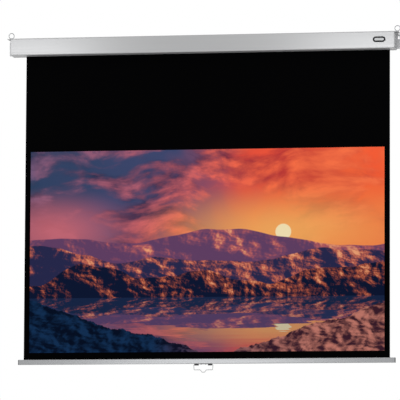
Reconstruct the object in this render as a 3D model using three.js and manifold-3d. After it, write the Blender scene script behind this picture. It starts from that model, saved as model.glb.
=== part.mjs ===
// Pull-down projector screen in a long metal case, with a self-locking spring roller.
// Millimetres. +Z is up, X runs along the case and the front faces -Y.
// The origin is the middle of the case's flat back, which lies against the wall.
import * as THREE from 'three';
import { mergeVertices } from 'three/addons/utils/BufferGeometryUtils.js';
import Module from 'manifold-3d';

const wasm = await Module();
wasm.setup();

// Driving dimensions

// Screen sheet
const VIEW_WIDTH = 1770;
const VIEW_HEIGHT = 1000;
const SIDE_BORDER = 27;
const FOOT_BORDER = 34;
const BLACK_DROP = 478;
const SHEET_THICKNESS = 0.5;
const WOUND_TURNS = 4;
const TUBE_MARGIN = 6.2;

// Fits
const SEAT_GAP = 0.3;
const RUN_GAP = 0.4;
const END_FLOAT = 0.9;
const CUT_OVERRUN = 4;

// Case, an extruded channel with a slot below and a screw port in each corner
const CASE_HEIGHT = 85;
const CASE_DEPTH = 90;
const CASE_WALL = 1.6;
const CASE_CORNER = 6;
const SLOT_WIDTH = 12;
const LIP_HEIGHT = 7;
const PORT_SINK = 0.6;
const PORT_MOUTH = 2;

// End plates, folded from sheet
const PLATE = 2;
const BEND = 1;
const CEILING_EAR_WIDTH = 20;
const WALL_EAR_WIDTH = 24;
const EAR_SETBACK = 8;
const EAR_RELIEF = 2;
const EAR_CORNER = 4;
const KEYHOLE_OUT = 12;
const KEYHOLE_DROP = 24;
const KEYHOLE_RADIUS = 5.5;
const KEYHOLE_NECK = 2.9;
const KEYHOLE_CLIMB = 9;
const SCREW_RADIUS = 1.5;
const SCREW_LENGTH = 12;
const SCREW_HEAD_RADIUS = 2.8;
const SCREW_HEAD_HEIGHT = 2;

// Eye bolts on the ceiling ears
const EYE_OUTER = 30;
const EYE_WIRE = 3.6;
const EYE_RISE = 21;
const EYE_OUT = 9;
const EYE_SETBACK = 30;
const EYE_SHANK_RADIUS = 2.5;
const EYE_SHANK_BELOW = 12;
const NUT_FLATS = 8;
const NUT_HEIGHT = 4;

// Badge, left blank
const BADGE_LENGTH = 62;
const BADGE_HEIGHT = 28;
const BADGE_THICKNESS = 1.6;
const BADGE_RIM = 7.5;
const BADGE_RECESS = 1;
const BADGE_INSET = 74;
const BADGE_RISE = 2;

// Roller
const ROLLER_FORWARD = 10;
const TUBE_RADIUS = 22.5;
const TUBE_WALL = 1.5;
const PLUG_FLANGE = 4;
const PLUG_REACH = 25;
const PIN_RADIUS = 4;
const PIN_REACH = 18;
const BUSH_WALL = 2.6;
const BUSH_FLANGE = 1.2;
const BUSH_FLANGE_RIM = 2;

// Brackets that carry the roller
const IDLER_BLOCK = 13;
const SPINDLE_SOCKET = 18;
const BRACKET_BASE = 3;
const BRACKET_DEPTH = 26;
const BOSS_WALL = 3.4;
const RIVET_RADIUS = 1.6;
const RIVET_HEAD_RADIUS = 3;
const RIVET_HEAD_HEIGHT = 1.2;
const RIVET_CLEARANCE = 2.2;

// Lock: a ratchet wheel on the fixed spindle and two pawls in the roller's cup
const CUP_LENGTH = 14;
const CUP_WALL = 3;
const CUP_FLOOR = 3;
const SPINDLE_RADIUS = 4;
const SPINDLE_FLAT = 5.6;
const SPINDLE_SHOW = 27.5;
const SPINDLE_TAIL = 1;
const RATCHET_TEETH = 4;
const RATCHET_TIP = 9;
const RATCHET_ROOT = 6.4;
const RATCHET_WIDTH = 6;
const PAWL_CLEAR = 0.5;
const PAWL_REACH = 8;
const PAWL_EYE = 3;
const PAWL_NOSE = 2.4;
const PAWL_RAKE = 0.6;
const PAWL_SIDE_PLAY = 0.6;
const PAWL_PIN_RADIUS = 1.5;
const PAWL_PIN_TAIL = 6;
const PAWL_PIN_HEAD = 1;
const PAWL_PIN_RIM = 1;
const PAWL_SWING_DEGREES = 35;

// Winding spring
const SPRING_TURNS = 28;
const SPRING_PITCH = 6;
const SPRING_WIRE = 2.5;
const SPRING_CLEAR = 1;
const HUB_RADIUS = 11;
const HUB_LENGTH = 20;
const ANCHOR_DISC = 8;

// Weight bar, an extrusion with a hem channel above and a tunnel below
const BAR_OVERHANG = 27;
const BAR_HEIGHT = 25;
const BAR_DEPTH = 16;
const BAR_WALL = 2;
const BAR_CORNER = 2.5;
const BAR_GROOVES = 3;
const BAR_GROOVE_WIDTH = 1.4;
const BAR_GROOVE_DEPTH = 0.8;
const HEM_ROD_RADIUS = 2;
const HEM_WALL = 0.9;
const CHANNEL_CLEAR = 0.7;
const MOUTH_WIDTH = 3;
const MOUTH_DEPTH = 3.1;
const CAP_FLANGE = 2.5;
const CAP_LEG = 14;

// Pull handle
const HANDLE_OFFSET = -10;
const BAIL_WIDTH = 96;
const BAIL_DROP = 25;
const BAIL_DIP = 12;
const BAIL_DIP_WIDTH = 30;
const BAIL_DIP_FLOOR = 11;
const BAIL_TAPER = 4;
const BAIL_WIRE = 3.4;
const BAIL_BEND = 3.6;
const BAIL_PIN = 15;
const STRIP_THICKNESS = 1.5;
const STRIP_DEPTH = 12;
const KNUCKLE_LENGTH = 21;
const KNUCKLE_WALL = 1.6;
const KNUCKLE_NECK = 0.6;
const HANDLE_SCREW_LENGTH = 7;

// Facet counts
const ARC_STEPS = 5;
const ROUND_SIDES = 32;
const SMALL_SIDES = 12;
const WIRE_SIDES = 8;
const SPRING_STEPS = 10;
const SPRING_SIDES = 5;
const HEX_SIDES = 6;
const BAIL_CORNER_STEPS = 3;
const EYE_STEPS = 24;

// Sizes that follow

const sheetWidth = VIEW_WIDTH + 2 * SIDE_BORDER;
const sheetShown = BLACK_DROP + VIEW_HEIGHT + FOOT_BORDER;
const idlerRoom = TUBE_MARGIN + PLUG_FLANGE + END_FLOAT + BUSH_FLANGE + IDLER_BLOCK + 3 * SEAT_GAP + PLATE;
const lockRoom = TUBE_MARGIN + CUP_LENGTH + SPINDLE_SHOW + SPINDLE_SOCKET + 2 * SEAT_GAP + PLATE;
const caseLength = sheetWidth + idlerRoom + lockRoom;
const caseEnd = caseLength / 2;
const plateInside = caseEnd - PLATE;
const sheetX = (lockRoom - idlerRoom) / 2;
const caseTop = CASE_HEIGHT / 2;
const caseBottom = -caseTop;

const rollerY = -CASE_DEPTH / 2 - ROLLER_FORWARD;
const tubeBore = TUBE_RADIUS - TUBE_WALL;
const woundRadius = TUBE_RADIUS + SEAT_GAP + WOUND_TURNS * SHEET_THICKNESS;
const sheetY = rollerY + woundRadius + SEAT_GAP + SHEET_THICKNESS / 2;
const tubeLeft = sheetX - sheetWidth / 2 - TUBE_MARGIN;
const tubeRight = sheetX + sheetWidth / 2 + TUBE_MARGIN;

const barTop = caseBottom - sheetShown;
const barLength = sheetWidth + 2 * BAR_OVERHANG;
const sheetBottom = barTop - MOUTH_DEPTH;

const portInset = PLATE + BEND + SCREW_HEAD_RADIUS;
const portRadius = portInset - CASE_WALL + PORT_SINK;

const plugRadius = tubeBore - SEAT_GAP;
const cupBore = TUBE_RADIUS - CUP_WALL;
const cupMouth = tubeLeft - SEAT_GAP - CUP_LENGTH;
const cupFloor = tubeLeft - SEAT_GAP - CUP_FLOOR;
const plugEnd = tubeLeft + PLUG_REACH;
const ratchetRight = cupFloor - PAWL_SIDE_PLAY;
const ratchetLeft = ratchetRight - RATCHET_WIDTH;
const pawlLine = RATCHET_TIP + PAWL_CLEAR;
const pawlPivotY = PAWL_REACH;
const pawlPivotZ = pawlLine + PAWL_EYE;

const springRadius = HUB_RADIUS + SPRING_CLEAR + SPRING_WIRE / 2;
const springLeft = plugEnd + SPRING_WIRE;
const springRight = springLeft + SPRING_TURNS * SPRING_PITCH;
const anchorFace = springRight + SPRING_WIRE;
const anchorEnd = anchorFace + ANCHOR_DISC;
const spindleLeft = -plateInside + SEAT_GAP + SPINDLE_TAIL;

const bushBore = PIN_RADIUS + RUN_GAP;
const bushOuter = bushBore + BUSH_WALL;
const blockBore = bushOuter + SEAT_GAP;
const blockFace = plateInside - SEAT_GAP - IDLER_BLOCK;
const blockFloor = plateInside - SEAT_GAP - BRACKET_BASE;

const hemBore = HEM_ROD_RADIUS + SEAT_GAP;
const hemOuter = hemBore + HEM_WALL;
const hemDrop = MOUTH_DEPTH + SEAT_GAP + hemOuter;
const channelRadius = hemOuter + CHANNEL_CLEAR;
const tunnelTop = -hemDrop - channelRadius - BAR_WALL;
const tunnelBottom = -BAR_HEIGHT + BAR_WALL;

const stripBottom = -SEAT_GAP - STRIP_THICKNESS;
const knuckleBore = BAIL_WIRE / 2 + RUN_GAP;
const knuckleRadius = knuckleBore + KNUCKLE_WALL;
const pivotDrop = -stripBottom + KNUCKLE_NECK + knuckleBore;
const knuckleEnd = BAIL_WIDTH / 2 - BAIL_BEND;

// Finishes
const FINISHES = {
  silver: { color: 0xc9cacc, roughness: 0.42, metalness: 0.3 },
  plated: { color: 0xb4b6b8, roughness: 0.35, metalness: 0.85 },
  steel: { color: 0x8f9296, roughness: 0.4, metalness: 0.9 },
  bright: { color: 0xd3d6d6, roughness: 0.25, metalness: 0.9 },
  anodised: { color: 0xc4c7ca, roughness: 0.35, metalness: 0.7 },
  black: { color: 0x1b1c1e, roughness: 0.5, metalness: 0.1 },
  nylon: { color: 0xdcdad2, roughness: 0.6, metalness: 0 },
  acetal: { color: 0x2d2f32, roughness: 0.45, metalness: 0 },
  cloth: { color: 0x101012, roughness: 0.85, metalness: 0 },
  spring: { color: 0x6b6d70, roughness: 0.35, metalness: 0.9 },
};

// Outlines, as points in a plane

function arc(centreU, centreV, radius, from, to, steps) {
  const points = [];
  for (let step = 0; step <= steps; step += 1) {
    const angle = from + ((to - from) * step) / steps;
    points.push(new THREE.Vector2(centreU + radius * Math.cos(angle), centreV + radius * Math.sin(angle)));
  }
  return points;
}

function circle(radius, sides, centreU = 0, centreV = 0) {
  return arc(centreU, centreV, radius, 0, 2 * Math.PI, sides).slice(0, sides);
}

function rectangle(u0, v0, u1, v1) {
  return [
    new THREE.Vector2(u0, v0),
    new THREE.Vector2(u1, v0),
    new THREE.Vector2(u1, v1),
    new THREE.Vector2(u0, v1),
  ];
}

function roundedRectangle(u0, v0, u1, v1, radius) {
  const quarter = Math.PI / 2;
  return [
    ...arc(u1 - radius, v1 - radius, radius, 0, quarter, ARC_STEPS),
    ...arc(u0 + radius, v1 - radius, radius, quarter, 2 * quarter, ARC_STEPS),
    ...arc(u0 + radius, v0 + radius, radius, 2 * quarter, 3 * quarter, ARC_STEPS),
    ...arc(u1 - radius, v0 + radius, radius, 3 * quarter, 4 * quarter, ARC_STEPS),
  ];
}

function stadium(length, height) {
  const radius = height / 2;
  const reach = length / 2 - radius;
  const quarter = Math.PI / 2;
  return [
    ...arc(reach, 0, radius, -quarter, quarter, 2 * ARC_STEPS),
    ...arc(-reach, 0, radius, quarter, 3 * quarter, 2 * ARC_STEPS),
  ];
}

// Solids

function signedVolume(positions, index) {
  const a = new THREE.Vector3();
  const b = new THREE.Vector3();
  const c = new THREE.Vector3();
  let total = 0;
  for (let i = 0; i < index.length; i += 3) {
    a.fromArray(positions, 3 * index[i]);
    b.fromArray(positions, 3 * index[i + 1]);
    c.fromArray(positions, 3 * index[i + 2]);
    total += a.dot(b.cross(c));
  }
  return total;
}

// Closes a geometry's seams, drops slivers at poles and turns its faces outwards.
function solid(geometry) {
  geometry.deleteAttribute('normal');
  geometry.deleteAttribute('uv');
  const merged = mergeVertices(geometry);
  const positions = new Float32Array(merged.attributes.position.array);
  const triangles = [];
  const index = merged.index.array;
  for (let i = 0; i < index.length; i += 3) {
    const [a, b, c] = [index[i], index[i + 1], index[i + 2]];
    if (a !== b && b !== c && c !== a) {
      triangles.push(a, b, c);
    }
  }
  if (signedVolume(positions, triangles) < 0) {
    triangles.reverse();
  }
  return new wasm.Manifold(
    new wasm.Mesh({ numProp: 3, vertProperties: positions, triVerts: new Uint32Array(triangles) }),
  );
}

function extrusion(outline, length) {
  return new THREE.ExtrudeGeometry(new THREE.Shape(outline), { depth: length, bevelEnabled: false });
}

// An outline in (y, z) carried along X.
function prismX(outline, x0, x1) {
  const geometry = extrusion(outline, Math.abs(x1 - x0));
  const turn = new THREE.Matrix4().makeBasis(
    new THREE.Vector3(0, 1, 0),
    new THREE.Vector3(0, 0, 1),
    new THREE.Vector3(1, 0, 0),
  );
  return solid(geometry.applyMatrix4(turn).translate(Math.min(x0, x1), 0, 0));
}

// An outline in (x, z) carried along Y.
function prismY(outline, y0, y1) {
  const geometry = extrusion(outline, Math.abs(y1 - y0));
  return solid(geometry.rotateX(Math.PI / 2).translate(0, Math.max(y0, y1), 0));
}

// An outline in (x, y) carried along Z.
function prismZ(outline, z0, z1) {
  const geometry = extrusion(outline, Math.abs(z1 - z0));
  return solid(geometry.translate(0, 0, Math.min(z0, z1)));
}

// A profile of [x, radius] pairs turned about the X axis.
function turnX(profile, sides) {
  const points = profile.map(([x, radius]) => new THREE.Vector2(radius, x));
  return solid(new THREE.LatheGeometry(points, sides).rotateZ(-Math.PI / 2));
}

function ringX(x0, x1, bore, radius, sides) {
  return turnX([[x0, bore], [x1, bore], [x1, radius], [x0, radius], [x0, bore]], sides);
}

function rodX(x0, x1, radius, sides) {
  return turnX([[x0, 0], [x0, radius], [x1, radius], [x1, 0]], sides);
}

function joined(parts) {
  return parts.reduce((whole, part) => whole.add(part));
}

function cut(whole, tools) {
  return tools.reduce((left, tool) => left.subtract(tool), whole);
}

function place(group, name, body, finish, x = 0, y = 0, z = 0) {
  const mesh = body.getMesh();
  const geometry = new THREE.BufferGeometry();
  geometry.setAttribute('position', new THREE.BufferAttribute(new Float32Array(mesh.vertProperties), 3));
  geometry.setIndex(new THREE.BufferAttribute(new Uint32Array(mesh.triVerts), 1));
  geometry.computeVertexNormals();
  const piece = new THREE.Mesh(geometry, new THREE.MeshStandardMaterial(FINISHES[finish]));
  piece.name = name;
  piece.position.set(x, y, z);
  group.add(piece);
  return piece;
}

// Case

function portCentres() {
  const low = caseBottom + portInset;
  const high = caseTop - portInset;
  const front = -CASE_DEPTH + portInset;
  const back = -portInset;
  return [[front, low], [front, high], [back, low], [back, high]];
}

// The mouth of each port faces the middle of the case, so the port is an open C.
function portMouth(y, z, x0, x1) {
  const towards = new THREE.Vector2(Math.sign(-CASE_DEPTH / 2 - y), Math.sign(-z)).normalize();
  const across = new THREE.Vector2(-towards.y, towards.x).multiplyScalar(PORT_MOUTH / 2);
  const centre = new THREE.Vector2(y, z);
  const far = centre.clone().addScaledVector(towards, portRadius + CUT_OVERRUN);
  const mouth = [
    centre.clone().add(across),
    centre.clone().sub(across),
    far.clone().sub(across),
    far.clone().add(across),
  ];
  return prismX(mouth, x0, x1);
}

function caseShell() {
  const end = plateInside - SEAT_GAP;
  const over = end + CUT_OVERRUN;
  const inner = CASE_CORNER - CASE_WALL;
  const slotFront = sheetY - SLOT_WIDTH / 2;
  const slotRear = sheetY + SLOT_WIDTH / 2;
  const floor = caseBottom + CASE_WALL;
  const lipTop = caseBottom + LIP_HEIGHT;
  const outerSkin = prismX(roundedRectangle(-CASE_DEPTH, caseBottom, 0, caseTop, CASE_CORNER), -end, end);
  const hollow = prismX(
    roundedRectangle(-CASE_DEPTH + CASE_WALL, floor, -CASE_WALL, caseTop - CASE_WALL, inner),
    -over,
    over,
  );
  const slot = prismX(rectangle(slotFront, caseBottom - CUT_OVERRUN, slotRear, lipTop), -over, over);
  const lips = [
    prismX(rectangle(slotFront - CASE_WALL, caseBottom, slotFront, lipTop), -end, end),
    prismX(rectangle(slotRear, caseBottom, slotRear + CASE_WALL, lipTop), -end, end),
  ];
  const ports = portCentres().map(([y, z]) => (
    prismX(circle(portRadius, SMALL_SIDES, y, z), -end, end).intersect(outerSkin)
  ));
  const bores = portCentres().map(([y, z]) => (
    prismX(circle(SCREW_RADIUS + SEAT_GAP, SMALL_SIDES, y, z), -over, over)
  ));
  const mouths = portCentres().map(([y, z]) => portMouth(y, z, -over, over));
  return cut(joined([cut(outerSkin, [hollow, slot]), ...lips, ...ports]), [...bores, ...mouths]);
}

// Section of a flange folded outwards from the plate, with the fold's real inside radius.
function foldedFlange(side, flangeEnd, crest) {
  const outerBend = BEND + PLATE;
  const foot = crest - outerBend - PLATE;
  const centreX = plateInside + outerBend;
  const centreV = crest - outerBend;
  const points = [
    new THREE.Vector2(plateInside, foot),
    ...arc(centreX, centreV, outerBend, Math.PI, Math.PI / 2, ARC_STEPS),
    new THREE.Vector2(flangeEnd, crest),
    new THREE.Vector2(flangeEnd, crest - PLATE),
    ...arc(centreX, centreV, BEND, Math.PI / 2, Math.PI, ARC_STEPS),
    new THREE.Vector2(plateInside + PLATE, foot),
  ];
  return points.map((point) => new THREE.Vector2(side * point.x, point.y));
}

function endPlate(side) {
  const outerBend = BEND + PLATE;
  const innerFace = side * plateInside;
  const outerFace = side * caseEnd;
  const beyond = side * (caseEnd + CUT_OVERRUN);
  const within = side * (plateInside - CUT_OVERRUN);
  const web = prismX(
    roundedRectangle(-CASE_DEPTH, caseBottom, 0, caseTop, CASE_CORNER),
    innerFace,
    outerFace,
  );
  const earFront = -CASE_DEPTH + EAR_SETBACK;
  const earBottom = caseBottom + EAR_SETBACK;
  const foldClear = [
    prismX(rectangle(earFront, caseTop - outerBend, CUT_OVERRUN, caseTop + CUT_OVERRUN), within, beyond),
    prismX(rectangle(-outerBend, earBottom, CUT_OVERRUN, caseTop + CUT_OVERRUN), within, beyond),
  ];
  const earBack = -outerBend - EAR_RELIEF;
  const earTop = caseTop - outerBend - EAR_RELIEF;
  const ceilingEnd = caseEnd + CEILING_EAR_WIDTH;
  const wallEnd = caseEnd + WALL_EAR_WIDTH;
  const ceilingEar = prismY(foldedFlange(side, ceilingEnd, caseTop), earFront, earBack).intersect(
    prismZ(
      roundedRectangle(
        Math.min(side * (plateInside - EAR_CORNER), side * ceilingEnd),
        earFront,
        Math.max(side * (plateInside - EAR_CORNER), side * ceilingEnd),
        earBack,
        EAR_CORNER,
      ),
      caseBottom,
      caseTop + CUT_OVERRUN,
    ),
  );
  const wallEar = prismZ(foldedFlange(side, wallEnd, 0), earBottom, earTop).intersect(
    prismY(
      roundedRectangle(
        Math.min(side * (plateInside - EAR_CORNER), side * wallEnd),
        earBottom,
        Math.max(side * (plateInside - EAR_CORNER), side * wallEnd),
        earTop,
        EAR_CORNER,
      ),
      -CASE_DEPTH,
      CUT_OVERRUN,
    ),
  );
  const keyholeX = side * (caseEnd + KEYHOLE_OUT);
  const keyholeZ = caseTop - KEYHOLE_DROP;
  const neckTop = keyholeZ + KEYHOLE_CLIMB;
  const holes = [
    prismZ(
      circle(EYE_SHANK_RADIUS + SEAT_GAP, SMALL_SIDES, side * (caseEnd + EYE_OUT), -EYE_SETBACK),
      caseTop - PLATE - CUT_OVERRUN,
      caseTop + CUT_OVERRUN,
    ),
    prismY(circle(KEYHOLE_RADIUS, SMALL_SIDES, keyholeX, keyholeZ), -PLATE - CUT_OVERRUN, CUT_OVERRUN),
    prismY(circle(KEYHOLE_NECK, SMALL_SIDES, keyholeX, neckTop), -PLATE - CUT_OVERRUN, CUT_OVERRUN),
    prismY(
      rectangle(keyholeX - KEYHOLE_NECK, keyholeZ, keyholeX + KEYHOLE_NECK, neckTop),
      -PLATE - CUT_OVERRUN,
      CUT_OVERRUN,
    ),
    ...portCentres().map(([y, z]) => (
      prismX(circle(SCREW_RADIUS + SEAT_GAP, SMALL_SIDES, y, z), within, beyond)
    )),
    ...rivetHeights(side).map((z) => (
      prismX(circle(RIVET_RADIUS + SEAT_GAP, SMALL_SIDES, rollerY, z), within, beyond)
    )),
  ];
  return cut(joined([cut(web, foldClear), ceilingEar, wallEar]), holes);
}

// A pan-headed screw along X, with its head at the outside and its tip towards the middle.
function endScrew(side) {
  const seat = side * SEAT_GAP;
  const crown = side * (SEAT_GAP + SCREW_HEAD_HEIGHT);
  const shoulder = side * (SEAT_GAP + SCREW_HEAD_HEIGHT / 2);
  const tip = side * (SEAT_GAP - SCREW_LENGTH);
  return turnX(
    [
      [tip, 0],
      [tip, SCREW_RADIUS],
      [seat, SCREW_RADIUS],
      [seat, SCREW_HEAD_RADIUS],
      [shoulder, SCREW_HEAD_RADIUS],
      [crown, SCREW_HEAD_RADIUS - SCREW_HEAD_HEIGHT / 2],
      [crown, 0],
    ],
    SMALL_SIDES,
  );
}

// Eye bolt about its shank's axis, with the ear's top face at height zero.
function eyeBolt() {
  const ringRadius = (EYE_OUTER - EYE_WIRE) / 2;
  const ring = new THREE.TorusGeometry(ringRadius, EYE_WIRE / 2, WIRE_SIDES, EYE_STEPS);
  ring.rotateX(Math.PI / 2).translate(0, 0, EYE_RISE);
  const shankFoot = -PLATE - EYE_SHANK_BELOW;
  const shank = prismZ(circle(EYE_SHANK_RADIUS, SMALL_SIDES), shankFoot, EYE_RISE - ringRadius);
  return joined([solid(ring), shank]);
}

function hexNut() {
  const corner = NUT_FLATS / 2 / Math.cos(Math.PI / HEX_SIDES);
  return cut(prismZ(circle(corner, HEX_SIDES), 0, NUT_HEIGHT), [
    prismZ(circle(EYE_SHANK_RADIUS + SEAT_GAP, SMALL_SIDES), -CUT_OVERRUN, NUT_HEIGHT + CUT_OVERRUN),
  ]);
}

function badgeFrame() {
  const pocket = stadium(BADGE_LENGTH - 2 * BADGE_RIM, BADGE_HEIGHT - 2 * BADGE_RIM);
  return cut(prismY(stadium(BADGE_LENGTH, BADGE_HEIGHT), -BADGE_THICKNESS, 0), [
    prismY(pocket, -BADGE_THICKNESS - CUT_OVERRUN, -BADGE_THICKNESS + BADGE_RECESS),
  ]);
}

function badgeInlay() {
  const margin = 2 * (BADGE_RIM + SEAT_GAP);
  const floor = -BADGE_THICKNESS + BADGE_RECESS - SEAT_GAP;
  return prismY(stadium(BADGE_LENGTH - margin, BADGE_HEIGHT - margin), floor - BADGE_RECESS / 2, floor);
}

function buildCase() {
  const group = new THREE.Group();
  place(group, 'case_shell', caseShell(), 'silver');
  for (const [label, side] of [['left', -1], ['right', 1]]) {
    place(group, `end_plate_${label}`, endPlate(side), 'silver');
    portCentres().forEach(([y, z], corner) => {
      place(group, `end_screw_${label}_${corner + 1}`, endScrew(side), 'plated', side * caseEnd, y, z);
    });
    const eyeX = side * (caseEnd + EYE_OUT);
    place(group, `eye_bolt_${label}`, eyeBolt(), 'plated', eyeX, -EYE_SETBACK, caseTop);
    place(group, `eye_nut_upper_${label}`, hexNut(), 'plated', eyeX, -EYE_SETBACK, caseTop + SEAT_GAP);
    const under = caseTop - PLATE - SEAT_GAP - NUT_HEIGHT;
    place(group, `eye_nut_lower_${label}`, hexNut(), 'plated', eyeX, -EYE_SETBACK, under);
  }
  const badgeX = caseEnd - BADGE_INSET;
  const badgeY = -CASE_DEPTH - SEAT_GAP;
  place(group, 'badge_frame', badgeFrame(), 'black', badgeX, badgeY, BADGE_RISE);
  place(group, 'badge_inlay', badgeInlay(), 'anodised', badgeX, badgeY, BADGE_RISE);
  return group;
}

// Fixed pieces on the roller's axis

// The spindle's section with two flats, which the socket, ratchet and anchor grip.
function flattedRod(x0, x1, gap) {
  const half = SPINDLE_FLAT / 2 + gap;
  const reach = SPINDLE_RADIUS + gap;
  return rodX(x0, x1, reach, SMALL_SIDES).intersect(
    prismX(rectangle(-half, -reach - CUT_OVERRUN, half, reach + CUT_OVERRUN), x0, x1),
  );
}

function spindle() {
  const flatsEnd = cupFloor - PAWL_SIDE_PLAY;
  const hub = anchorFace - HUB_LENGTH;
  return joined([
    flattedRod(spindleLeft, flatsEnd, 0),
    rodX(flatsEnd, hub - SEAT_GAP, SPINDLE_RADIUS, SMALL_SIDES),
    flattedRod(hub - SEAT_GAP, anchorEnd, 0),
  ]);
}

// Saw teeth that stop the roller from winding the sheet up. Each stands square on one side.
function ratchetWheel() {
  const pitch = (2 * Math.PI) / RATCHET_TEETH;
  const outline = [];
  for (let tooth = 0; tooth < RATCHET_TEETH; tooth += 1) {
    const start = tooth * pitch;
    outline.push(new THREE.Vector2(RATCHET_ROOT * Math.cos(start), RATCHET_ROOT * Math.sin(start)));
    for (let step = 0; step < ARC_STEPS; step += 1) {
      const angle = start + (pitch * step) / ARC_STEPS;
      const radius = RATCHET_TIP - ((RATCHET_TIP - RATCHET_ROOT) * step) / ARC_STEPS;
      outline.push(new THREE.Vector2(radius * Math.cos(angle), radius * Math.sin(angle)));
    }
  }
  return cut(prismX(outline, ratchetLeft, ratchetRight), [
    flattedRod(ratchetLeft - CUT_OVERRUN, ratchetRight + CUT_OVERRUN, SEAT_GAP),
  ]);
}

function springAnchor() {
  const hubStart = anchorFace - HUB_LENGTH;
  const discRadius = tubeBore - RUN_GAP;
  const body = turnX(
    [
      [hubStart, 0],
      [hubStart, HUB_RADIUS],
      [anchorFace, HUB_RADIUS],
      [anchorFace, discRadius],
      [anchorEnd, discRadius],
      [anchorEnd, 0],
    ],
    ROUND_SIDES,
  );
  return cut(body, [flattedRod(hubStart - CUT_OVERRUN, anchorEnd + CUT_OVERRUN, SEAT_GAP)]);
}

function bossRadius(side) {
  return side < 0 ? SPINDLE_RADIUS + SEAT_GAP + BOSS_WALL : blockBore + BOSS_WALL;
}

// Heights of the two rivets that hold a roller bracket, above and below its boss.
function rivetHeights(side) {
  const reach = bossRadius(side) + RIVET_HEAD_RADIUS + RIVET_CLEARANCE;
  return [-reach, reach];
}

// A bracket's footing on the end plate, drilled for its rivets, with a round boss.
function bracketBody(side, length) {
  const seat = side * (plateInside - SEAT_GAP);
  const baseTop = side * (plateInside - SEAT_GAP - BRACKET_BASE);
  const face = side * (plateInside - SEAT_GAP - length);
  const [low, high] = rivetHeights(side);
  const edge = RIVET_HEAD_RADIUS + RIVET_CLEARANCE;
  const half = Math.max(BRACKET_DEPTH / 2, bossRadius(side));
  const footing = roundedRectangle(-half, low - edge, half, high + edge, RIVET_HEAD_RADIUS);
  const base = prismX(footing, seat, baseTop);
  const boss = rodX(Math.min(seat, face), Math.max(seat, face), bossRadius(side), ROUND_SIDES);
  const holes = [low, high].map((z) => prismX(
    circle(RIVET_RADIUS + SEAT_GAP, SMALL_SIDES, 0, z),
    seat + side * CUT_OVERRUN,
    baseTop - side * CUT_OVERRUN,
  ));
  return cut(joined([base, boss]), holes);
}

function spindleSocket() {
  const outside = -plateInside - CUT_OVERRUN;
  const face = -plateInside + SEAT_GAP + SPINDLE_SOCKET;
  return cut(bracketBody(-1, SPINDLE_SOCKET), [flattedRod(outside, face + CUT_OVERRUN, SEAT_GAP)]);
}

function idlerBlock() {
  const bore = rodX(blockFace - CUT_OVERRUN, blockFloor, blockBore, ROUND_SIDES);
  return cut(bracketBody(1, IDLER_BLOCK), [bore]);
}

function idlerBush() {
  const flangeStart = blockFace - SEAT_GAP - BUSH_FLANGE;
  const flangeEnd = blockFace - SEAT_GAP;
  const end = blockFloor - SEAT_GAP;
  const rim = bushOuter + BUSH_FLANGE_RIM;
  return turnX(
    [
      [flangeStart, bushBore],
      [end, bushBore],
      [end, bushOuter],
      [flangeEnd, bushOuter],
      [flangeEnd, rim],
      [flangeStart, rim],
      [flangeStart, bushBore],
    ],
    ROUND_SIDES,
  );
}

// A rivet through an end plate and a bracket's base, with a head at both ends.
function bracketRivet(side) {
  const outside = side * (caseEnd + SEAT_GAP);
  const outerCrown = side * (caseEnd + SEAT_GAP + RIVET_HEAD_HEIGHT);
  const inside = side * (plateInside - 2 * SEAT_GAP - BRACKET_BASE);
  const innerCrown = side * (plateInside - 2 * SEAT_GAP - BRACKET_BASE - RIVET_HEAD_HEIGHT);
  const domed = RIVET_HEAD_RADIUS - RIVET_HEAD_HEIGHT / 2;
  return turnX(
    [
      [outerCrown, 0],
      [outerCrown, domed],
      [outside, RIVET_HEAD_RADIUS],
      [outside, RIVET_RADIUS],
      [inside, RIVET_RADIUS],
      [inside, RIVET_HEAD_RADIUS],
      [innerCrown, domed],
      [innerCrown, 0],
    ],
    SMALL_SIDES,
  );
}

function buildFixedAxis() {
  const group = new THREE.Group();
  group.position.set(0, rollerY, 0);
  place(group, 'spindle_socket', spindleSocket(), 'steel');
  place(group, 'idler_block', idlerBlock(), 'steel');
  place(group, 'idler_bush', idlerBush(), 'nylon');
  for (const [label, side] of [['left', -1], ['right', 1]]) {
    rivetHeights(side).forEach((z, row) => {
      place(group, `bracket_rivet_${label}_${row + 1}`, bracketRivet(side), 'plated', 0, 0, z);
    });
  }
  place(group, 'spindle', spindle(), 'steel');
  place(group, 'ratchet_wheel', ratchetWheel(), 'steel');
  place(group, 'spring_anchor', springAnchor(), 'acetal');
  return group;
}

// Turning pieces of the roller

function lockPlug() {
  const bore = SPINDLE_RADIUS + RUN_GAP;
  const hubEnd = plugEnd + HUB_LENGTH;
  const shoulder = tubeLeft - SEAT_GAP;
  const body = turnX(
    [
      [cupMouth, TUBE_RADIUS],
      [cupMouth, cupBore],
      [cupFloor, cupBore],
      [cupFloor, bore],
      [hubEnd, bore],
      [hubEnd, HUB_RADIUS],
      [plugEnd, HUB_RADIUS],
      [plugEnd, plugRadius],
      [shoulder, plugRadius],
      [shoulder, TUBE_RADIUS],
      [cupMouth, TUBE_RADIUS],
    ],
    ROUND_SIDES,
  );
  const holeEnd = cupFloor + PAWL_PIN_TAIL + SEAT_GAP;
  return cut(body, pawlPivots().map(([y, z]) => (
    prismX(circle(PAWL_PIN_RADIUS + SEAT_GAP, SMALL_SIDES, y, z), cupFloor - CUT_OVERRUN, holeEnd)
  )));
}

// The pawls pivot on opposite sides of the axis.
function pawlPivots() {
  return [[pawlPivotY, pawlPivotZ], [-pawlPivotY, -pawlPivotZ]];
}

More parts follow.
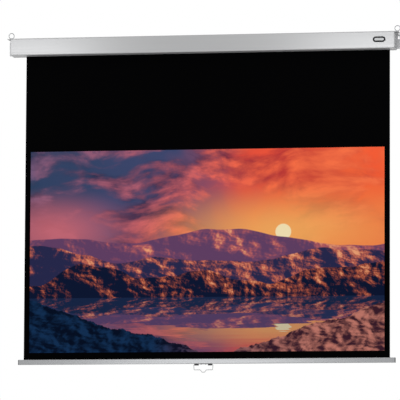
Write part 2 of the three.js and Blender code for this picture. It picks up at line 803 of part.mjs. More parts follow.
function pawlPin() {
  const tail = cupFloor + PAWL_PIN_TAIL;
  const head = ratchetLeft - SEAT_GAP;
  return turnX(
    [
      [head - PAWL_PIN_HEAD, 0],
      [head - PAWL_PIN_HEAD, PAWL_PIN_RADIUS + PAWL_PIN_RIM],
      [head, PAWL_PIN_RADIUS + PAWL_PIN_RIM],
      [head, PAWL_PIN_RADIUS],
      [tail, PAWL_PIN_RADIUS],
      [tail, 0],
    ],
    SMALL_SIDES,
  );
}

// A pawl about its own pivot. Its flat underside skims the ratchet's tips and its nose points to -Y.
function pawl() {
  const underside = -PAWL_EYE;
  const outline = [
    new THREE.Vector2(-PAWL_REACH, underside),
    new THREE.Vector2(0, underside),
    ...arc(0, 0, PAWL_EYE, -Math.PI / 2, Math.PI / 2, 2 * ARC_STEPS).slice(1),
    new THREE.Vector2(-PAWL_REACH + PAWL_RAKE, underside + PAWL_NOSE),
  ];
  const eye = circle(PAWL_PIN_RADIUS + RUN_GAP, SMALL_SIDES);
  return cut(prismX(outline, ratchetLeft, ratchetRight), [
    prismX(eye, ratchetLeft - CUT_OVERRUN, ratchetRight + CUT_OVERRUN),
  ]);
}

class Helix extends THREE.Curve {
  constructor(radius, turns, pitch) {
    super();
    this.radius = radius;
    this.turns = turns;
    this.pitch = pitch;
  }

  getPoint(share, target = new THREE.Vector3()) {
    const turned = this.turns * share;
    const angle = 2 * Math.PI * turned;
    return target.set(this.pitch * turned, this.radius * Math.cos(angle), this.radius * Math.sin(angle));
  }
}

// Least gap between turns, measured between points of the wire's centre line that lie a turn apart.
function leastGap(curve, steps, stepsPerTurn, wire) {
  const points = curve.getPoints(steps);
  let least = Infinity;
  points.forEach((point, i) => {
    for (let j = i + Math.floor(stepsPerTurn / 2); j < points.length; j += 1) {
      least = Math.min(least, point.distanceTo(points[j]) - wire);
    }
  });
  return least;
}

function windingSpring() {
  const helix = new Helix(springRadius, SPRING_TURNS, SPRING_PITCH);
  const steps = SPRING_TURNS * SPRING_STEPS;
  console.log(`winding spring: least gap ${leastGap(helix, steps, SPRING_STEPS, SPRING_WIRE).toFixed(2)} mm`);
  const section = new THREE.Shape(circle(SPRING_WIRE / 2, SPRING_SIDES));
  return solid(new THREE.ExtrudeGeometry(section, { steps, extrudePath: helix, bevelEnabled: false }));
}

function idlerPlug() {
  const bore = PIN_RADIUS + SEAT_GAP;
  const inner = tubeRight - PLUG_REACH;
  const shoulder = tubeRight + SEAT_GAP;
  const face = shoulder + PLUG_FLANGE;
  return turnX(
    [
      [inner, bore],
      [face, bore],
      [face, TUBE_RADIUS],
      [shoulder, TUBE_RADIUS],
      [shoulder, plugRadius],
      [inner, plugRadius],
      [inner, bore],
    ],
    ROUND_SIDES,
  );
}

function buildRoller() {
  const group = new THREE.Group();
  group.position.set(0, rollerY, 0);
  place(group, 'roller_tube', ringX(tubeLeft, tubeRight, tubeBore, TUBE_RADIUS, ROUND_SIDES), 'steel');
  const woundLeft = sheetX - sheetWidth / 2;
  const woundRight = sheetX + sheetWidth / 2;
  const woundBore = TUBE_RADIUS + SEAT_GAP;
  place(group, 'wound_turns', ringX(woundLeft, woundRight, woundBore, woundRadius, ROUND_SIDES), 'cloth');
  place(group, 'lock_plug', lockPlug(), 'acetal');
  place(group, 'winding_spring', windingSpring(), 'spring', springLeft, 0, 0);
  place(group, 'idler_plug', idlerPlug(), 'acetal');
  const pinEnd = blockFloor - SEAT_GAP;
  place(group, 'idler_pin', rodX(tubeRight - PIN_REACH, pinEnd, PIN_RADIUS, SMALL_SIDES), 'steel');
  const [upper, lower] = pawlPivots();
  place(group, 'pawl_pin_upper', pawlPin(), 'plated', 0, ...upper);
  place(group, 'pawl_pin_lower', pawlPin(), 'plated', 0, ...lower);
  place(group, 'pawl_upper', pawl(), 'steel', 0, ...upper);
  const hanging = place(group, 'pawl_lower', pawl(), 'steel', 0, ...lower);
  hanging.rotation.x = Math.PI - THREE.MathUtils.degToRad(PAWL_SWING_DEGREES);
  return group;
}

// Sheet and weight bar

function screenSheet() {
  const half = sheetWidth / 2;
  const face = SHEET_THICKNESS / 2;
  return prismZ(rectangle(-half, -face, half, face), sheetBottom, 0);
}

function barProfile() {
  const end = barLength / 2 - CAP_FLANGE - SEAT_GAP;
  const over = end + CUT_OVERRUN;
  const face = BAR_DEPTH / 2;
  const body = prismX(roundedRectangle(-face, -BAR_HEIGHT, face, 0, BAR_CORNER), -end, end);
  const grooves = [];
  for (let row = 1; row <= BAR_GROOVES; row += 1) {
    const z = (-BAR_HEIGHT * row) / (BAR_GROOVES + 1);
    const low = z - BAR_GROOVE_WIDTH / 2;
    const high = z + BAR_GROOVE_WIDTH / 2;
    const floor = face - BAR_GROOVE_DEPTH;
    grooves.push(prismX(rectangle(-face - CUT_OVERRUN, low, -floor, high), -over, over));
    grooves.push(prismX(rectangle(floor, low, face + CUT_OVERRUN, high), -over, over));
  }
  const channel = prismX(circle(channelRadius, SMALL_SIDES, 0, -hemDrop), -over, over);
  const mouth = prismX(rectangle(-MOUTH_WIDTH / 2, -hemDrop, MOUTH_WIDTH / 2, CUT_OVERRUN), -over, over);
  const tunnel = prismX(tunnelOutline(0), -over, over);
  const drillings = screwPlaces().map((x) => prismZ(
    circle(SCREW_RADIUS + SEAT_GAP, SMALL_SIDES, x, 0),
    -BAR_HEIGHT - CUT_OVERRUN,
    tunnelBottom + BAR_WALL / 2,
  ));
  return cut(body, [...grooves, channel, mouth, tunnel, ...drillings]);
}

function tunnelOutline(gap) {
  const side = BAR_DEPTH / 2 - BAR_WALL - gap;
  return rectangle(-side, tunnelBottom + gap, side, tunnelTop - gap);
}

// Places along the bar of the two screws that hold the handle's strip.
function screwPlaces() {
  const reach = (knuckleEnd - KNUCKLE_LENGTH) / 2;
  return [HANDLE_OFFSET - reach, HANDLE_OFFSET + reach];
}

function barCap(side) {
  const face = BAR_DEPTH / 2;
  const outside = (side * barLength) / 2;
  const seat = side * (barLength / 2 - CAP_FLANGE);
  const legEnd = side * (barLength / 2 - CAP_FLANGE - CAP_LEG);
  const flange = prismX(roundedRectangle(-face, -BAR_HEIGHT, face, 0, BAR_CORNER), seat, outside);
  const leg = prismX(tunnelOutline(SEAT_GAP), legEnd, side * (barLength / 2 - CAP_FLANGE / 2));
  return joined([flange, leg]);
}

// A folded strip under the bar whose two knuckles carry the bail.
function handleBracket() {
  const half = STRIP_DEPTH / 2;
  const strip = prismX(rectangle(-half, stripBottom, half, -SEAT_GAP), -knuckleEnd, knuckleEnd);
  const knuckleOutline = [
    new THREE.Vector2(knuckleRadius, stripBottom + STRIP_THICKNESS / 2),
    new THREE.Vector2(-knuckleRadius, stripBottom + STRIP_THICKNESS / 2),
    ...arc(0, -pivotDrop, knuckleRadius, -Math.PI, 0, 2 * ARC_STEPS),
  ];
  const knuckles = [-1, 1].map((side) => (
    prismX(knuckleOutline, side * (knuckleEnd - KNUCKLE_LENGTH), side * knuckleEnd)
  ));
  const over = knuckleEnd + CUT_OVERRUN;
  const bore = prismX(circle(knuckleBore, SMALL_SIDES, 0, -pivotDrop), -over, over);
  const drillings = screwPlaces().map((x) => prismZ(
    circle(SCREW_RADIUS + SEAT_GAP, SMALL_SIDES, x - HANDLE_OFFSET, 0),
    stripBottom - CUT_OVERRUN,
    CUT_OVERRUN,
  ));
  return cut(joined([strip, ...knuckles]), [bore, ...drillings]);
}

// A pan-headed screw standing on Z, head down, with its seat at height zero.
function handleScrew() {
  const profile = [
    [-SCREW_HEAD_HEIGHT, 0],
    [-SCREW_HEAD_HEIGHT, SCREW_HEAD_RADIUS - SCREW_HEAD_HEIGHT / 2],
    [-SCREW_HEAD_HEIGHT / 2, SCREW_HEAD_RADIUS],
    [0, SCREW_HEAD_RADIUS],
    [0, SCREW_RADIUS],
    [HANDLE_SCREW_LENGTH, SCREW_RADIUS],
    [HANDLE_SCREW_LENGTH, 0],
  ];
  const points = profile.map(([z, radius]) => new THREE.Vector2(radius, z));
  return solid(new THREE.LatheGeometry(points, SMALL_SIDES).rotateX(Math.PI / 2));
}

// Corner points of the bail's wire in (x, z) about its pivot, from one pin end to the other.
function bailCorners() {
  const half = BAIL_WIDTH / 2;
  const right = [
    [knuckleEnd - BAIL_PIN, 0],
    [half, 0],
    [half - BAIL_TAPER / 2, -BAIL_DROP],
    [BAIL_DIP_WIDTH / 2, -BAIL_DROP],
    [BAIL_DIP_FLOOR / 2, -BAIL_DROP - BAIL_DIP],
  ];
  const left = right.map(([x, z]) => [-x, z]).reverse();
  return [...right, ...left].map(([x, z]) => new THREE.Vector3(x, 0, z));
}

// The wire's centre line: straight runs joined by rounded bends.
class BailPath extends THREE.CurvePath {
  constructor(corners, bend) {
    super();
    let from = corners[0];
    for (let i = 1; i < corners.length - 1; i += 1) {
      const corner = corners[i];
      const before = corner.clone().add(corners[i - 1].clone().sub(corner).setLength(bend));
      const after = corner.clone().add(corners[i + 1].clone().sub(corner).setLength(bend));
      this.add(new THREE.LineCurve3(from, before));
      this.add(new THREE.QuadraticBezierCurve3(before, corner, after));
      from = after;
    }
    this.add(new THREE.LineCurve3(from, corners[corners.length - 1]));
  }
}

function pullBail() {
  const path = new BailPath(bailCorners(), BAIL_BEND);
  const steps = Math.round((path.getLength() / BAIL_BEND) * BAIL_CORNER_STEPS / 2);
  const section = new THREE.Shape(circle(BAIL_WIRE / 2, WIRE_SIDES));
  return solid(new THREE.ExtrudeGeometry(section, { steps, extrudePath: path, bevelEnabled: false }));
}

function buildBar() {
  const group = new THREE.Group();
  group.position.set(sheetX, sheetY, barTop);
  const half = sheetWidth / 2;
  place(group, 'bar_profile', barProfile(), 'anodised');
  place(group, 'bar_cap_left', barCap(-1), 'black');
  place(group, 'bar_cap_right', barCap(1), 'black');
  place(group, 'hem_rod', rodX(-half, half, HEM_ROD_RADIUS, SMALL_SIDES), 'plated', 0, 0, -hemDrop);
  place(group, 'hem_pocket', ringX(-half, half, hemBore, hemOuter, SMALL_SIDES), 'cloth', 0, 0, -hemDrop);
  const handle = new THREE.Group();
  handle.position.set(HANDLE_OFFSET, 0, -BAR_HEIGHT);
  place(handle, 'handle_bracket', handleBracket(), 'black');
  const screwSeat = stripBottom - SEAT_GAP;
  screwPlaces().forEach((x, row) => {
    place(handle, `handle_screw_${row + 1}`, handleScrew(), 'plated', x - HANDLE_OFFSET, 0, screwSeat);
  });
  place(handle, 'pull_bail', pullBail(), 'bright', 0, 0, -pivotDrop);
  group.add(handle);
  return group;
}

const screen = new THREE.Group();
screen.add(buildCase(), buildFixedAxis(), buildRoller());
place(screen, 'screen_sheet', screenSheet(), 'cloth', sheetX, sheetY, 0);
screen.add(buildBar());

export default screen;
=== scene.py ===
"""Pull-down projector screen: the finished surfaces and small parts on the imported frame.

Metres, +Z up. X runs along the case, the front faces -Y and the case's flat back lies in the plane y = 0.
The sizes of pieces are in millimetres, those of patterns, the picture and the studio in metres.
"""

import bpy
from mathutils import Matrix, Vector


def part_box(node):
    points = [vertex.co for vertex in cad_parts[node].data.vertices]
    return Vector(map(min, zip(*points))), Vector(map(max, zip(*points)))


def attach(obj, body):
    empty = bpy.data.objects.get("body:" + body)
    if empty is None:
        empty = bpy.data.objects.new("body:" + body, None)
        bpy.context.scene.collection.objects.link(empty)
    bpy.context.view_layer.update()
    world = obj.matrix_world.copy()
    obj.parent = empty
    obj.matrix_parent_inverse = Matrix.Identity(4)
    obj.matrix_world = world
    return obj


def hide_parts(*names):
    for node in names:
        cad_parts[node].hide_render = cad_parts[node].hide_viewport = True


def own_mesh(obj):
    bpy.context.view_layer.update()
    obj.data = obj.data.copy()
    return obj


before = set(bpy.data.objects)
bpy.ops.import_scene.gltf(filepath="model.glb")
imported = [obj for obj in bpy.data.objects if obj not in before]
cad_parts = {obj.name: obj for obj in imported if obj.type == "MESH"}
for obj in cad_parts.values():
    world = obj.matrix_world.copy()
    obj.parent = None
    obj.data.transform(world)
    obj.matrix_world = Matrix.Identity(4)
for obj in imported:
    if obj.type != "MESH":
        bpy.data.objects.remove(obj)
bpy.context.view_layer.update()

import logging
import math
from contextlib import contextmanager
from dataclasses import dataclass
from enum import Enum
from typing import Callable, Iterator, Sequence

import bmesh
import bpy
from mathutils import Matrix, Vector

log = logging.getLogger("projector_screen")

MM = 0.001
NEAR = 0.01 * MM
SAME_POINT = 0.002 * MM
X, Y, Z = range(3)
NOISE_SPAN = (0.3, 0.7)
MIX_FIRST, MIX_SECOND, MIX_RESULT = 6, 7, 2

Triple = tuple[float, float, float]
Stops = tuple[tuple[float, Triple], ...]


class Side(Enum):
    """The two ends of the case, by the sign of X."""

    LEFT = -1
    RIGHT = 1

    @property
    def label(self) -> str:
        """The end's name, as the frame's nodes use it."""
        return self.name.lower()


class Body(Enum):
    """The bodies that the pieces ride on."""

    CASE = "case"
    ROLLER = "roller"
    BAR = "bar"
    BAIL = "bail"


class Slot(Enum):
    """The record's material slots."""

    CASE = "case_silver"
    PLATE = "plate_silver"
    ZINC = "zinc"
    STEEL = "steel"
    WIRE = "wire"
    BAR = "bar_aluminium"
    CAP = "cap_black"
    BRACKET = "bracket_black"
    BADGE_RIM = "badge_black"
    BADGE_FACE = "badge_silver"
    NYLON = "nylon"
    ACETAL = "acetal"
    CLOTH = "screen_cloth"
    SPRING = "spring_wire"


class Cut(Enum):
    """What a tool does to the piece it is used on."""

    TAKE_AWAY = "DIFFERENCE"
    KEEP_COMMON = "INTERSECT"


def point(x: float, y: float, z: float) -> Vector:
    """A point given in millimetres, in metres."""
    return Vector((x, y, z)) * MM


def deselect() -> None:
    """Leaves nothing selected, the frame's nodes among them."""
    bpy.ops.object.select_all(action="DESELECT")


def stand(name: str, data: bpy.types.ID) -> bpy.types.Object:
    """Stands a mesh, a lamp or a camera in the scene.

    Args:
        name: The new object's name.
        data: What the object holds.

    Returns:
        The object, at the origin.
    """
    made = bpy.data.objects.new(name, data)
    bpy.context.scene.collection.objects.link(made)
    return made


def lying_at(axis: int, *places: float) -> Callable[[bmesh.types.BMEdge], bool]:
    """A test for edges that lie at one of some places on an axis, square to it."""
    return lambda edge: any(all(abs(v.co[axis] - place) < NEAR for v in edge.verts) for place in places)


def running_along(axis: int) -> Callable[[bmesh.types.BMEdge], bool]:
    """A test for edges that run along an axis."""
    return lambda edge: abs((edge.verts[0].co - edge.verts[1].co).normalized()[axis]) > 0.9


@dataclass(frozen=True)
class Signal:
    """A value on its way through a node tree: the usual signs work on it, and its methods add nodes."""

    graph: "Graph"
    socket: bpy.types.NodeSocket

    def worked(self, how: str, a: "Value", b: "Value") -> "Signal":
        """Works out one operation, on vectors where this signal is a vector or a colour."""
        kind = "ShaderNodeMath" if self.socket.type == "VALUE" else "ShaderNodeVectorMath"
        return self.graph.signal(kind, {0: a, 1: b}, operation=how)

    def __add__(self, other: "Value") -> "Signal":
        """This and the other together."""
        return self.worked("ADD", self, other)

    def __sub__(self, other: "Value") -> "Signal":
        """This less the other."""
        return self.worked("SUBTRACT", self, other)

    def __rsub__(self, other: "Value") -> "Signal":
        """The other less this."""
        return self.worked("SUBTRACT", other, self)

    def __mul__(self, other: "Value") -> "Signal":
        """This times the other."""
        return self.worked("MULTIPLY", self, other)

    def math(self, how: str, other: "Value" = 0.0, clamp: bool = False) -> "Signal":
        """Works out another operation on this number, with a second one where it takes two."""
        return self.graph.signal("ShaderNodeMath", {0: self, 1: other}, operation=how, use_clamp=clamp)

    def length(self) -> "Signal":
        """How long this vector is."""
        return self.graph.signal("ShaderNodeVectorMath", {0: self}, "Value", operation="LENGTH")

    def beside(self, other: "Value") -> "Signal":
        """A flat vector of this number and another."""
        return self.graph.signal("ShaderNodeCombineXYZ", {X: self, Y: other})

    def parts(self) -> tuple["Signal", "Signal"]:
        """The first two numbers of this vector."""
        outputs = self.graph.add("ShaderNodeSeparateXYZ", {0: self}).outputs
        return Signal(self.graph, outputs[X]), Signal(self.graph, outputs[Y])

    def scaled(self, scale: Triple) -> "Signal":
        """This point of a pattern, scaled for each axis."""
        return self.graph.signal("ShaderNodeMapping", {"Vector": self, "Scale": scale})

    def noise(self, scale: float = 1.0, detail: float = 2.0, rough: float = 0.5) -> "Signal":
        """Smooth noise at this point, from nought to one."""
        inputs = {"Vector": self, "Scale": scale, "Detail": detail, "Roughness": rough}
        return self.graph.signal("ShaderNodeTexNoise", inputs)

    def drift(self, scale: float, amount: float) -> "Signal":
        """This point pushed about by noise, for edges that wander."""
        push = self.graph.signal("ShaderNodeTexNoise", {"Vector": self, "Scale": scale}, "Color")
        return self + (push - (0.5, 0.5, 0.5)) * (amount, amount, 0.0)

    def step(self, low: float, high: float, start: float = 0.0, end: float = 1.0) -> "Signal":
        """Maps a range of this number to another with soft ends."""
        inputs = {"Value": self, "From Min": low, "From Max": high, "To Min": start, "To Max": end}
        return self.graph.signal("ShaderNodeMapRange", inputs, interpolation_type="SMOOTHSTEP", clamp=True)

    def mix(self, a: "Signal | Triple", b: "Signal | Triple") -> "Signal":
        """Mixes two colours, with this number as the share of the second.

        Args:
            a: The first colour.
            b: The second colour.

        Returns:
            The mixed colour.
        """
        first, second = (colour if isinstance(colour, Signal) else (*colour, 1.0) for colour in (a, b))
        inputs = {0: self, MIX_FIRST: first, MIX_SECOND: second}
        return self.graph.signal("ShaderNodeMix", inputs, MIX_RESULT, data_type="RGBA", clamp_factor=True)

    def ramp(self, stops: Stops) -> "Signal":
        """Reads a colour off a row of stops at the place that this number gives.

        Args:
            stops: Places and colours, from the first to the last.

        Returns:
            The colour.
        """
        made = self.graph.add("ShaderNodeValToRGB", {0: self})
        elements = made.color_ramp.elements
        elements.remove(elements[-1])
        elements[0].position = stops[0][0]
        elements[0].color = (*stops[0][1], 1.0)
        for place, colour in stops[1:]:
            elements.new(place).color = (*colour, 1.0)
        return Signal(self.graph, made.outputs[0])

    def bump(self, strength: float, depth: float) -> "Signal":
        """A bumped normal with this number as its height."""
        inputs = {"Strength": strength, "Distance": depth, "Height": self}
        return self.graph.signal("ShaderNodeBump", inputs)


Value = Signal | float | Sequence[float]


class Graph:
    """The node tree of a material or of the world, written one step at a time."""

    def __init__(self, owner: bpy.types.Material | bpy.types.World) -> None:
        """Starts an empty tree.

        Args:
            owner: What the tree belongs to.
        """
        owner.use_nodes = True
        self.tree = owner.node_tree
        self.tree.nodes.clear()

    def add(self, kind: str, inputs: dict[str | int, Value], **settings: object) -> bpy.types.Node:
        """Adds a node.

        Args:
            kind: The node's type.
            inputs: What its sockets get, by name or number: a value of their own or another node's signal.
            settings: Its settings.

        Returns:
            The node.
        """
        made = self.tree.nodes.new(kind)
        for name, value in settings.items():
            setattr(made, name, value)
        for name, value in inputs.items():
            if isinstance(value, Signal):
                self.tree.links.new(value.socket, made.inputs[name])
            else:
                made.inputs[name].default_value = value
        return made

    def signal(
        self, kind: str, inputs: dict[str | int, Value], output: str | int = 0, **settings: object
    ) -> Signal:
        """Adds a node and reads one of its outputs."""
        return Signal(self, self.add(kind, inputs, **settings).outputs[output])

    def place(self) -> Signal:
        """The point on the piece, in metres."""
        return self.signal("ShaderNodeTexCoord", {}, "Object")

    def cloth(self) -> Signal:
        """The point on the cloth, as shares of its width and length."""
        return self.signal("ShaderNodeUVMap", {}, uv_map="cloth")

    def seen(self) -> Signal:
        """One for rays from the eye, a reflection or a clear piece, and nought for light.

        Returns:
            The mask.
        """
        rays = self.add("ShaderNodeLightPath", {}).outputs
        seen = Signal(self, rays["Is Camera Ray"])
        for name in ("Is Glossy Ray", "Is Transmission Ray"):
            seen = seen.math("MAXIMUM", Signal(self, rays[name]))
        return seen

    def surface(self, **inputs: Value) -> None:
        """Ends the tree in a Principled shader, with underscores for spaces in its sockets' names."""
        sockets = {name.replace("_", " "): value for name, value in inputs.items()}
        self.add("ShaderNodeOutputMaterial", {0: self.signal("ShaderNodeBsdfPrincipled", sockets)})


@dataclass(frozen=True)
class Finish:
    """A finish that several pieces may share.

    The shade swings either way by a share of the colour, `rub` is how far the roughness goes down and up, and
    `relief` is the strength of the bumps and their depth in metres.
    """

    name: str
    slot: Slot
    colour: Triple
    roughness: float = 0.5
    swing: float = 0.15
    rub: tuple[float, float] = (0.05, 0.07)
    relief: tuple[float, float] = (0.25, 0.00015)

    def material(self) -> bpy.types.Material:
        """The finish's material, made at its first use.

        Returns:
            The material.
        """
        found = bpy.data.materials.get(self.name)
        if not found:
            found = bpy.data.materials.new(self.name)
            self.draw(Graph(found))
        return found

    def draw(self, graph: Graph) -> None:
        """Draws the finish in its material's tree."""
        raise NotImplementedError

    def shade(self, share: Signal) -> Signal:
        """The colour, from its darkest to its lightest by a share."""
        low, high = (tuple(min(1.0, c * (1 + way * self.swing)) for c in self.colour) for way in (-1, 1))
        return share.mix(low, high)

    def rubbed(self, noise: Signal) -> Signal:
        """The roughness, a little less and more from place to place."""
        less, more = self.rub
        return noise.step(*NOISE_SPAN, self.roughness - less, self.roughness + more)


@dataclass(frozen=True)
class PowderCoat(Finish):
    """Satin metallic paint baked on sheet or extruded metal."""

    roughness: float = 0.42
    swing: float = 0.07
    rub: tuple[float, float] = (0.04, 0.05)
    relief: tuple[float, float] = (0.12, 0.0002)
    metallic: float = 0.3
    grain: Triple = (1.5, 260.0, 260.0)
    flake: float = 1400.0
    peel: float = 620.0

    def draw(self, graph: Graph) -> None:
        """Draws a fine orange peel over a faint lengthwise grain.

        Args:
            graph: The material's tree.
        """
        place = graph.place()
        grain = place.scaled(self.grain).noise(detail=3.0)
        graph.surface(
            Base_Color=self.shade(grain * 0.6 + place.noise(self.flake) * 0.4),
            Metallic=self.metallic,
            Roughness=self.rubbed(grain),
            Normal=place.noise(self.peel, 3.0, 0.6).bump(*self.relief),
        )


@dataclass(frozen=True)
class BrushedMetal(Finish):
    """Aluminium drawn and anodised, with its grain along X."""

    roughness: float = 0.36
    swing: float = 0.06
    rub: tuple[float, float] = (0.04, 0.05)
    relief: tuple[float, float] = (0.04, 0.0001)
    metallic: float = 0.85
    scratches: Triple = (0.9, 900.0, 900.0)
    bands: Triple = (0.15, 170.0, 170.0)

    def draw(self, graph: Graph) -> None:
        """Draws long fine scratches in the shade, the gloss and the surface.

        Args:
            graph: The material's tree.
        """
        lines, bands = (graph.place().scaled(scale).noise() for scale in (self.scratches, self.bands))
        graph.surface(
            Base_Color=self.shade(lines * 0.5 + bands * 0.5),
            Metallic=self.metallic,
            Roughness=self.rubbed(lines),
            Anisotropic=0.35,
            Normal=lines.bump(*self.relief),
        )


@dataclass(frozen=True)
class PlatedMetal(Finish):
    """Zinc-plated or bare steel, with a faint cloudy bloom."""

    roughness: float = 0.3
    swing: float = 0.12
    rub: tuple[float, float] = (0.08, 0.1)
    relief: tuple[float, float] = (0.06, 0.0001)
    bloom: float = 170.0
    pits: float = 1500.0

    def draw(self, graph: Graph) -> None:
        """Draws clouds of shade and gloss with a few fine pits.

        Args:
            graph: The material's tree.
        """
        place = graph.place()
        clouds = place.noise(self.bloom, 4.0, 0.6)
        graph.surface(
            Base_Color=self.shade(clouds.step(*NOISE_SPAN)),
            Metallic=1.0,
            Roughness=self.rubbed(clouds),
            Normal=place.noise(self.pits).bump(*self.relief),
        )


@dataclass(frozen=True)
class TurnedMetal(Finish):
    """Steel turned on a lathe about an axis along X."""

    roughness: float = 0.34
    rub: tuple[float, float] = (0.06, 0.1)
    relief: tuple[float, float] = (0.15, 0.0001)
    rings: Triple = (2600.0, 25.0, 25.0)
    clouds: float = 90.0

    def draw(self, graph: Graph) -> None:
        """Draws fine tool rings along X.

        Args:
            graph: The material's tree.
        """
        place = graph.place()
        rings = place.scaled(self.rings).noise(detail=3.0)
        graph.surface(
            Base_Color=self.shade(place.noise(self.clouds, 3.0)),
            Metallic=1.0,
            Roughness=self.rubbed(rings),
            Normal=rings.bump(*self.relief),
        )


@dataclass(frozen=True)
class MouldedPlastic(Finish):
    """Injection-moulded plastic with a spark-eroded texture."""

    gloss: float = 0.4
    pebble: float = 1800.0
    wear: float = 60.0

    def draw(self, graph: Graph) -> None:
        """Draws a pebbled texture with slightly worn gloss.

        Args:
            graph: The material's tree.
        """
        place = graph.place()
        pebble = place.noise(self.pebble)
        graph.surface(
            Base_Color=self.shade(pebble),
            Roughness=self.rubbed(place.noise(self.wear, 3.0)),
            Specular_IOR_Level=self.gloss,
            Normal=pebble.bump(*self.relief),
        )


@dataclass(frozen=True)
class ClothFinish(Finish):
    """A finish on plain woven cloth, with the cloth's size and the distance between threads in metres."""

    width: float = 1.824
    length: float = 1.5576
    pitch: float = 0.0011

    def weave(self, cloth: Signal) -> Signal:
        """The height of the weave, from nought to one.

        Args:
            cloth: The point on the cloth.

        Returns:
            The height.
        """
        across, along = cloth.parts()
        warp = (across * (math.pi * self.width / self.pitch)).math("SINE")
        weft = (along * (math.pi * self.length / self.pitch)).math("SINE")
        return (warp * weft).math("ABSOLUTE")


@dataclass(frozen=True)
class BackingCloth(ClothFinish):
    """The opaque black back of the screen cloth, and its wound turns."""

    roughness: float = 0.7
    swing: float = 0.3
    rub: tuple[float, float] = (0.08, 0.08)
    relief: tuple[float, float] = (0.2, 0.0002)
    patches: Triple = (7.0, 6.0, 1.0)

    def draw(self, graph: Graph) -> None:
        """Draws a rubbery coat in which the weave still shows.

        Args:
            graph: The material's tree.
        """
        cloth = graph.cloth()
        rub = cloth.scaled(self.patches).noise(1.0, 4.0, 0.6)
        graph.surface(
            Base_Color=self.shade(rub),
            Roughness=self.rubbed(rub),
            Specular_IOR_Level=0.25,
            Normal=self.weave(cloth).bump(*self.relief),
        )


@dataclass(frozen=True)
class HillRow:
    """One row of hills, whose crest swings by `rise` about `level`, with `grain` slopes to a metre."""

    level: float
    rise: float
    rate: float
    seed: float
    shade: Triple
    light: Triple
    lit: float
    grain: float


@dataclass(frozen=True)
class Glow:
    """A soft patch of light in the sky, squeezed along each axis."""

    place: tuple[float, float]
    squeeze: tuple[float, float]
    reach: float
    colour: Triple
    strength: float = 0.85

    def away(self, far: Signal) -> Signal:
        """The way from the patch's middle to a point of the picture."""
        return far - (*self.place, 0.0)

    def over(self, far: Signal, sky: Signal) -> Signal:
        """Lays the patch over the sky's colour at a point of the picture."""
        distance = (self.away(far) * (*self.squeeze, 0.0)).length()
        return distance.step(0.0, self.reach, self.strength, 0.0).mix(sky, self.colour)


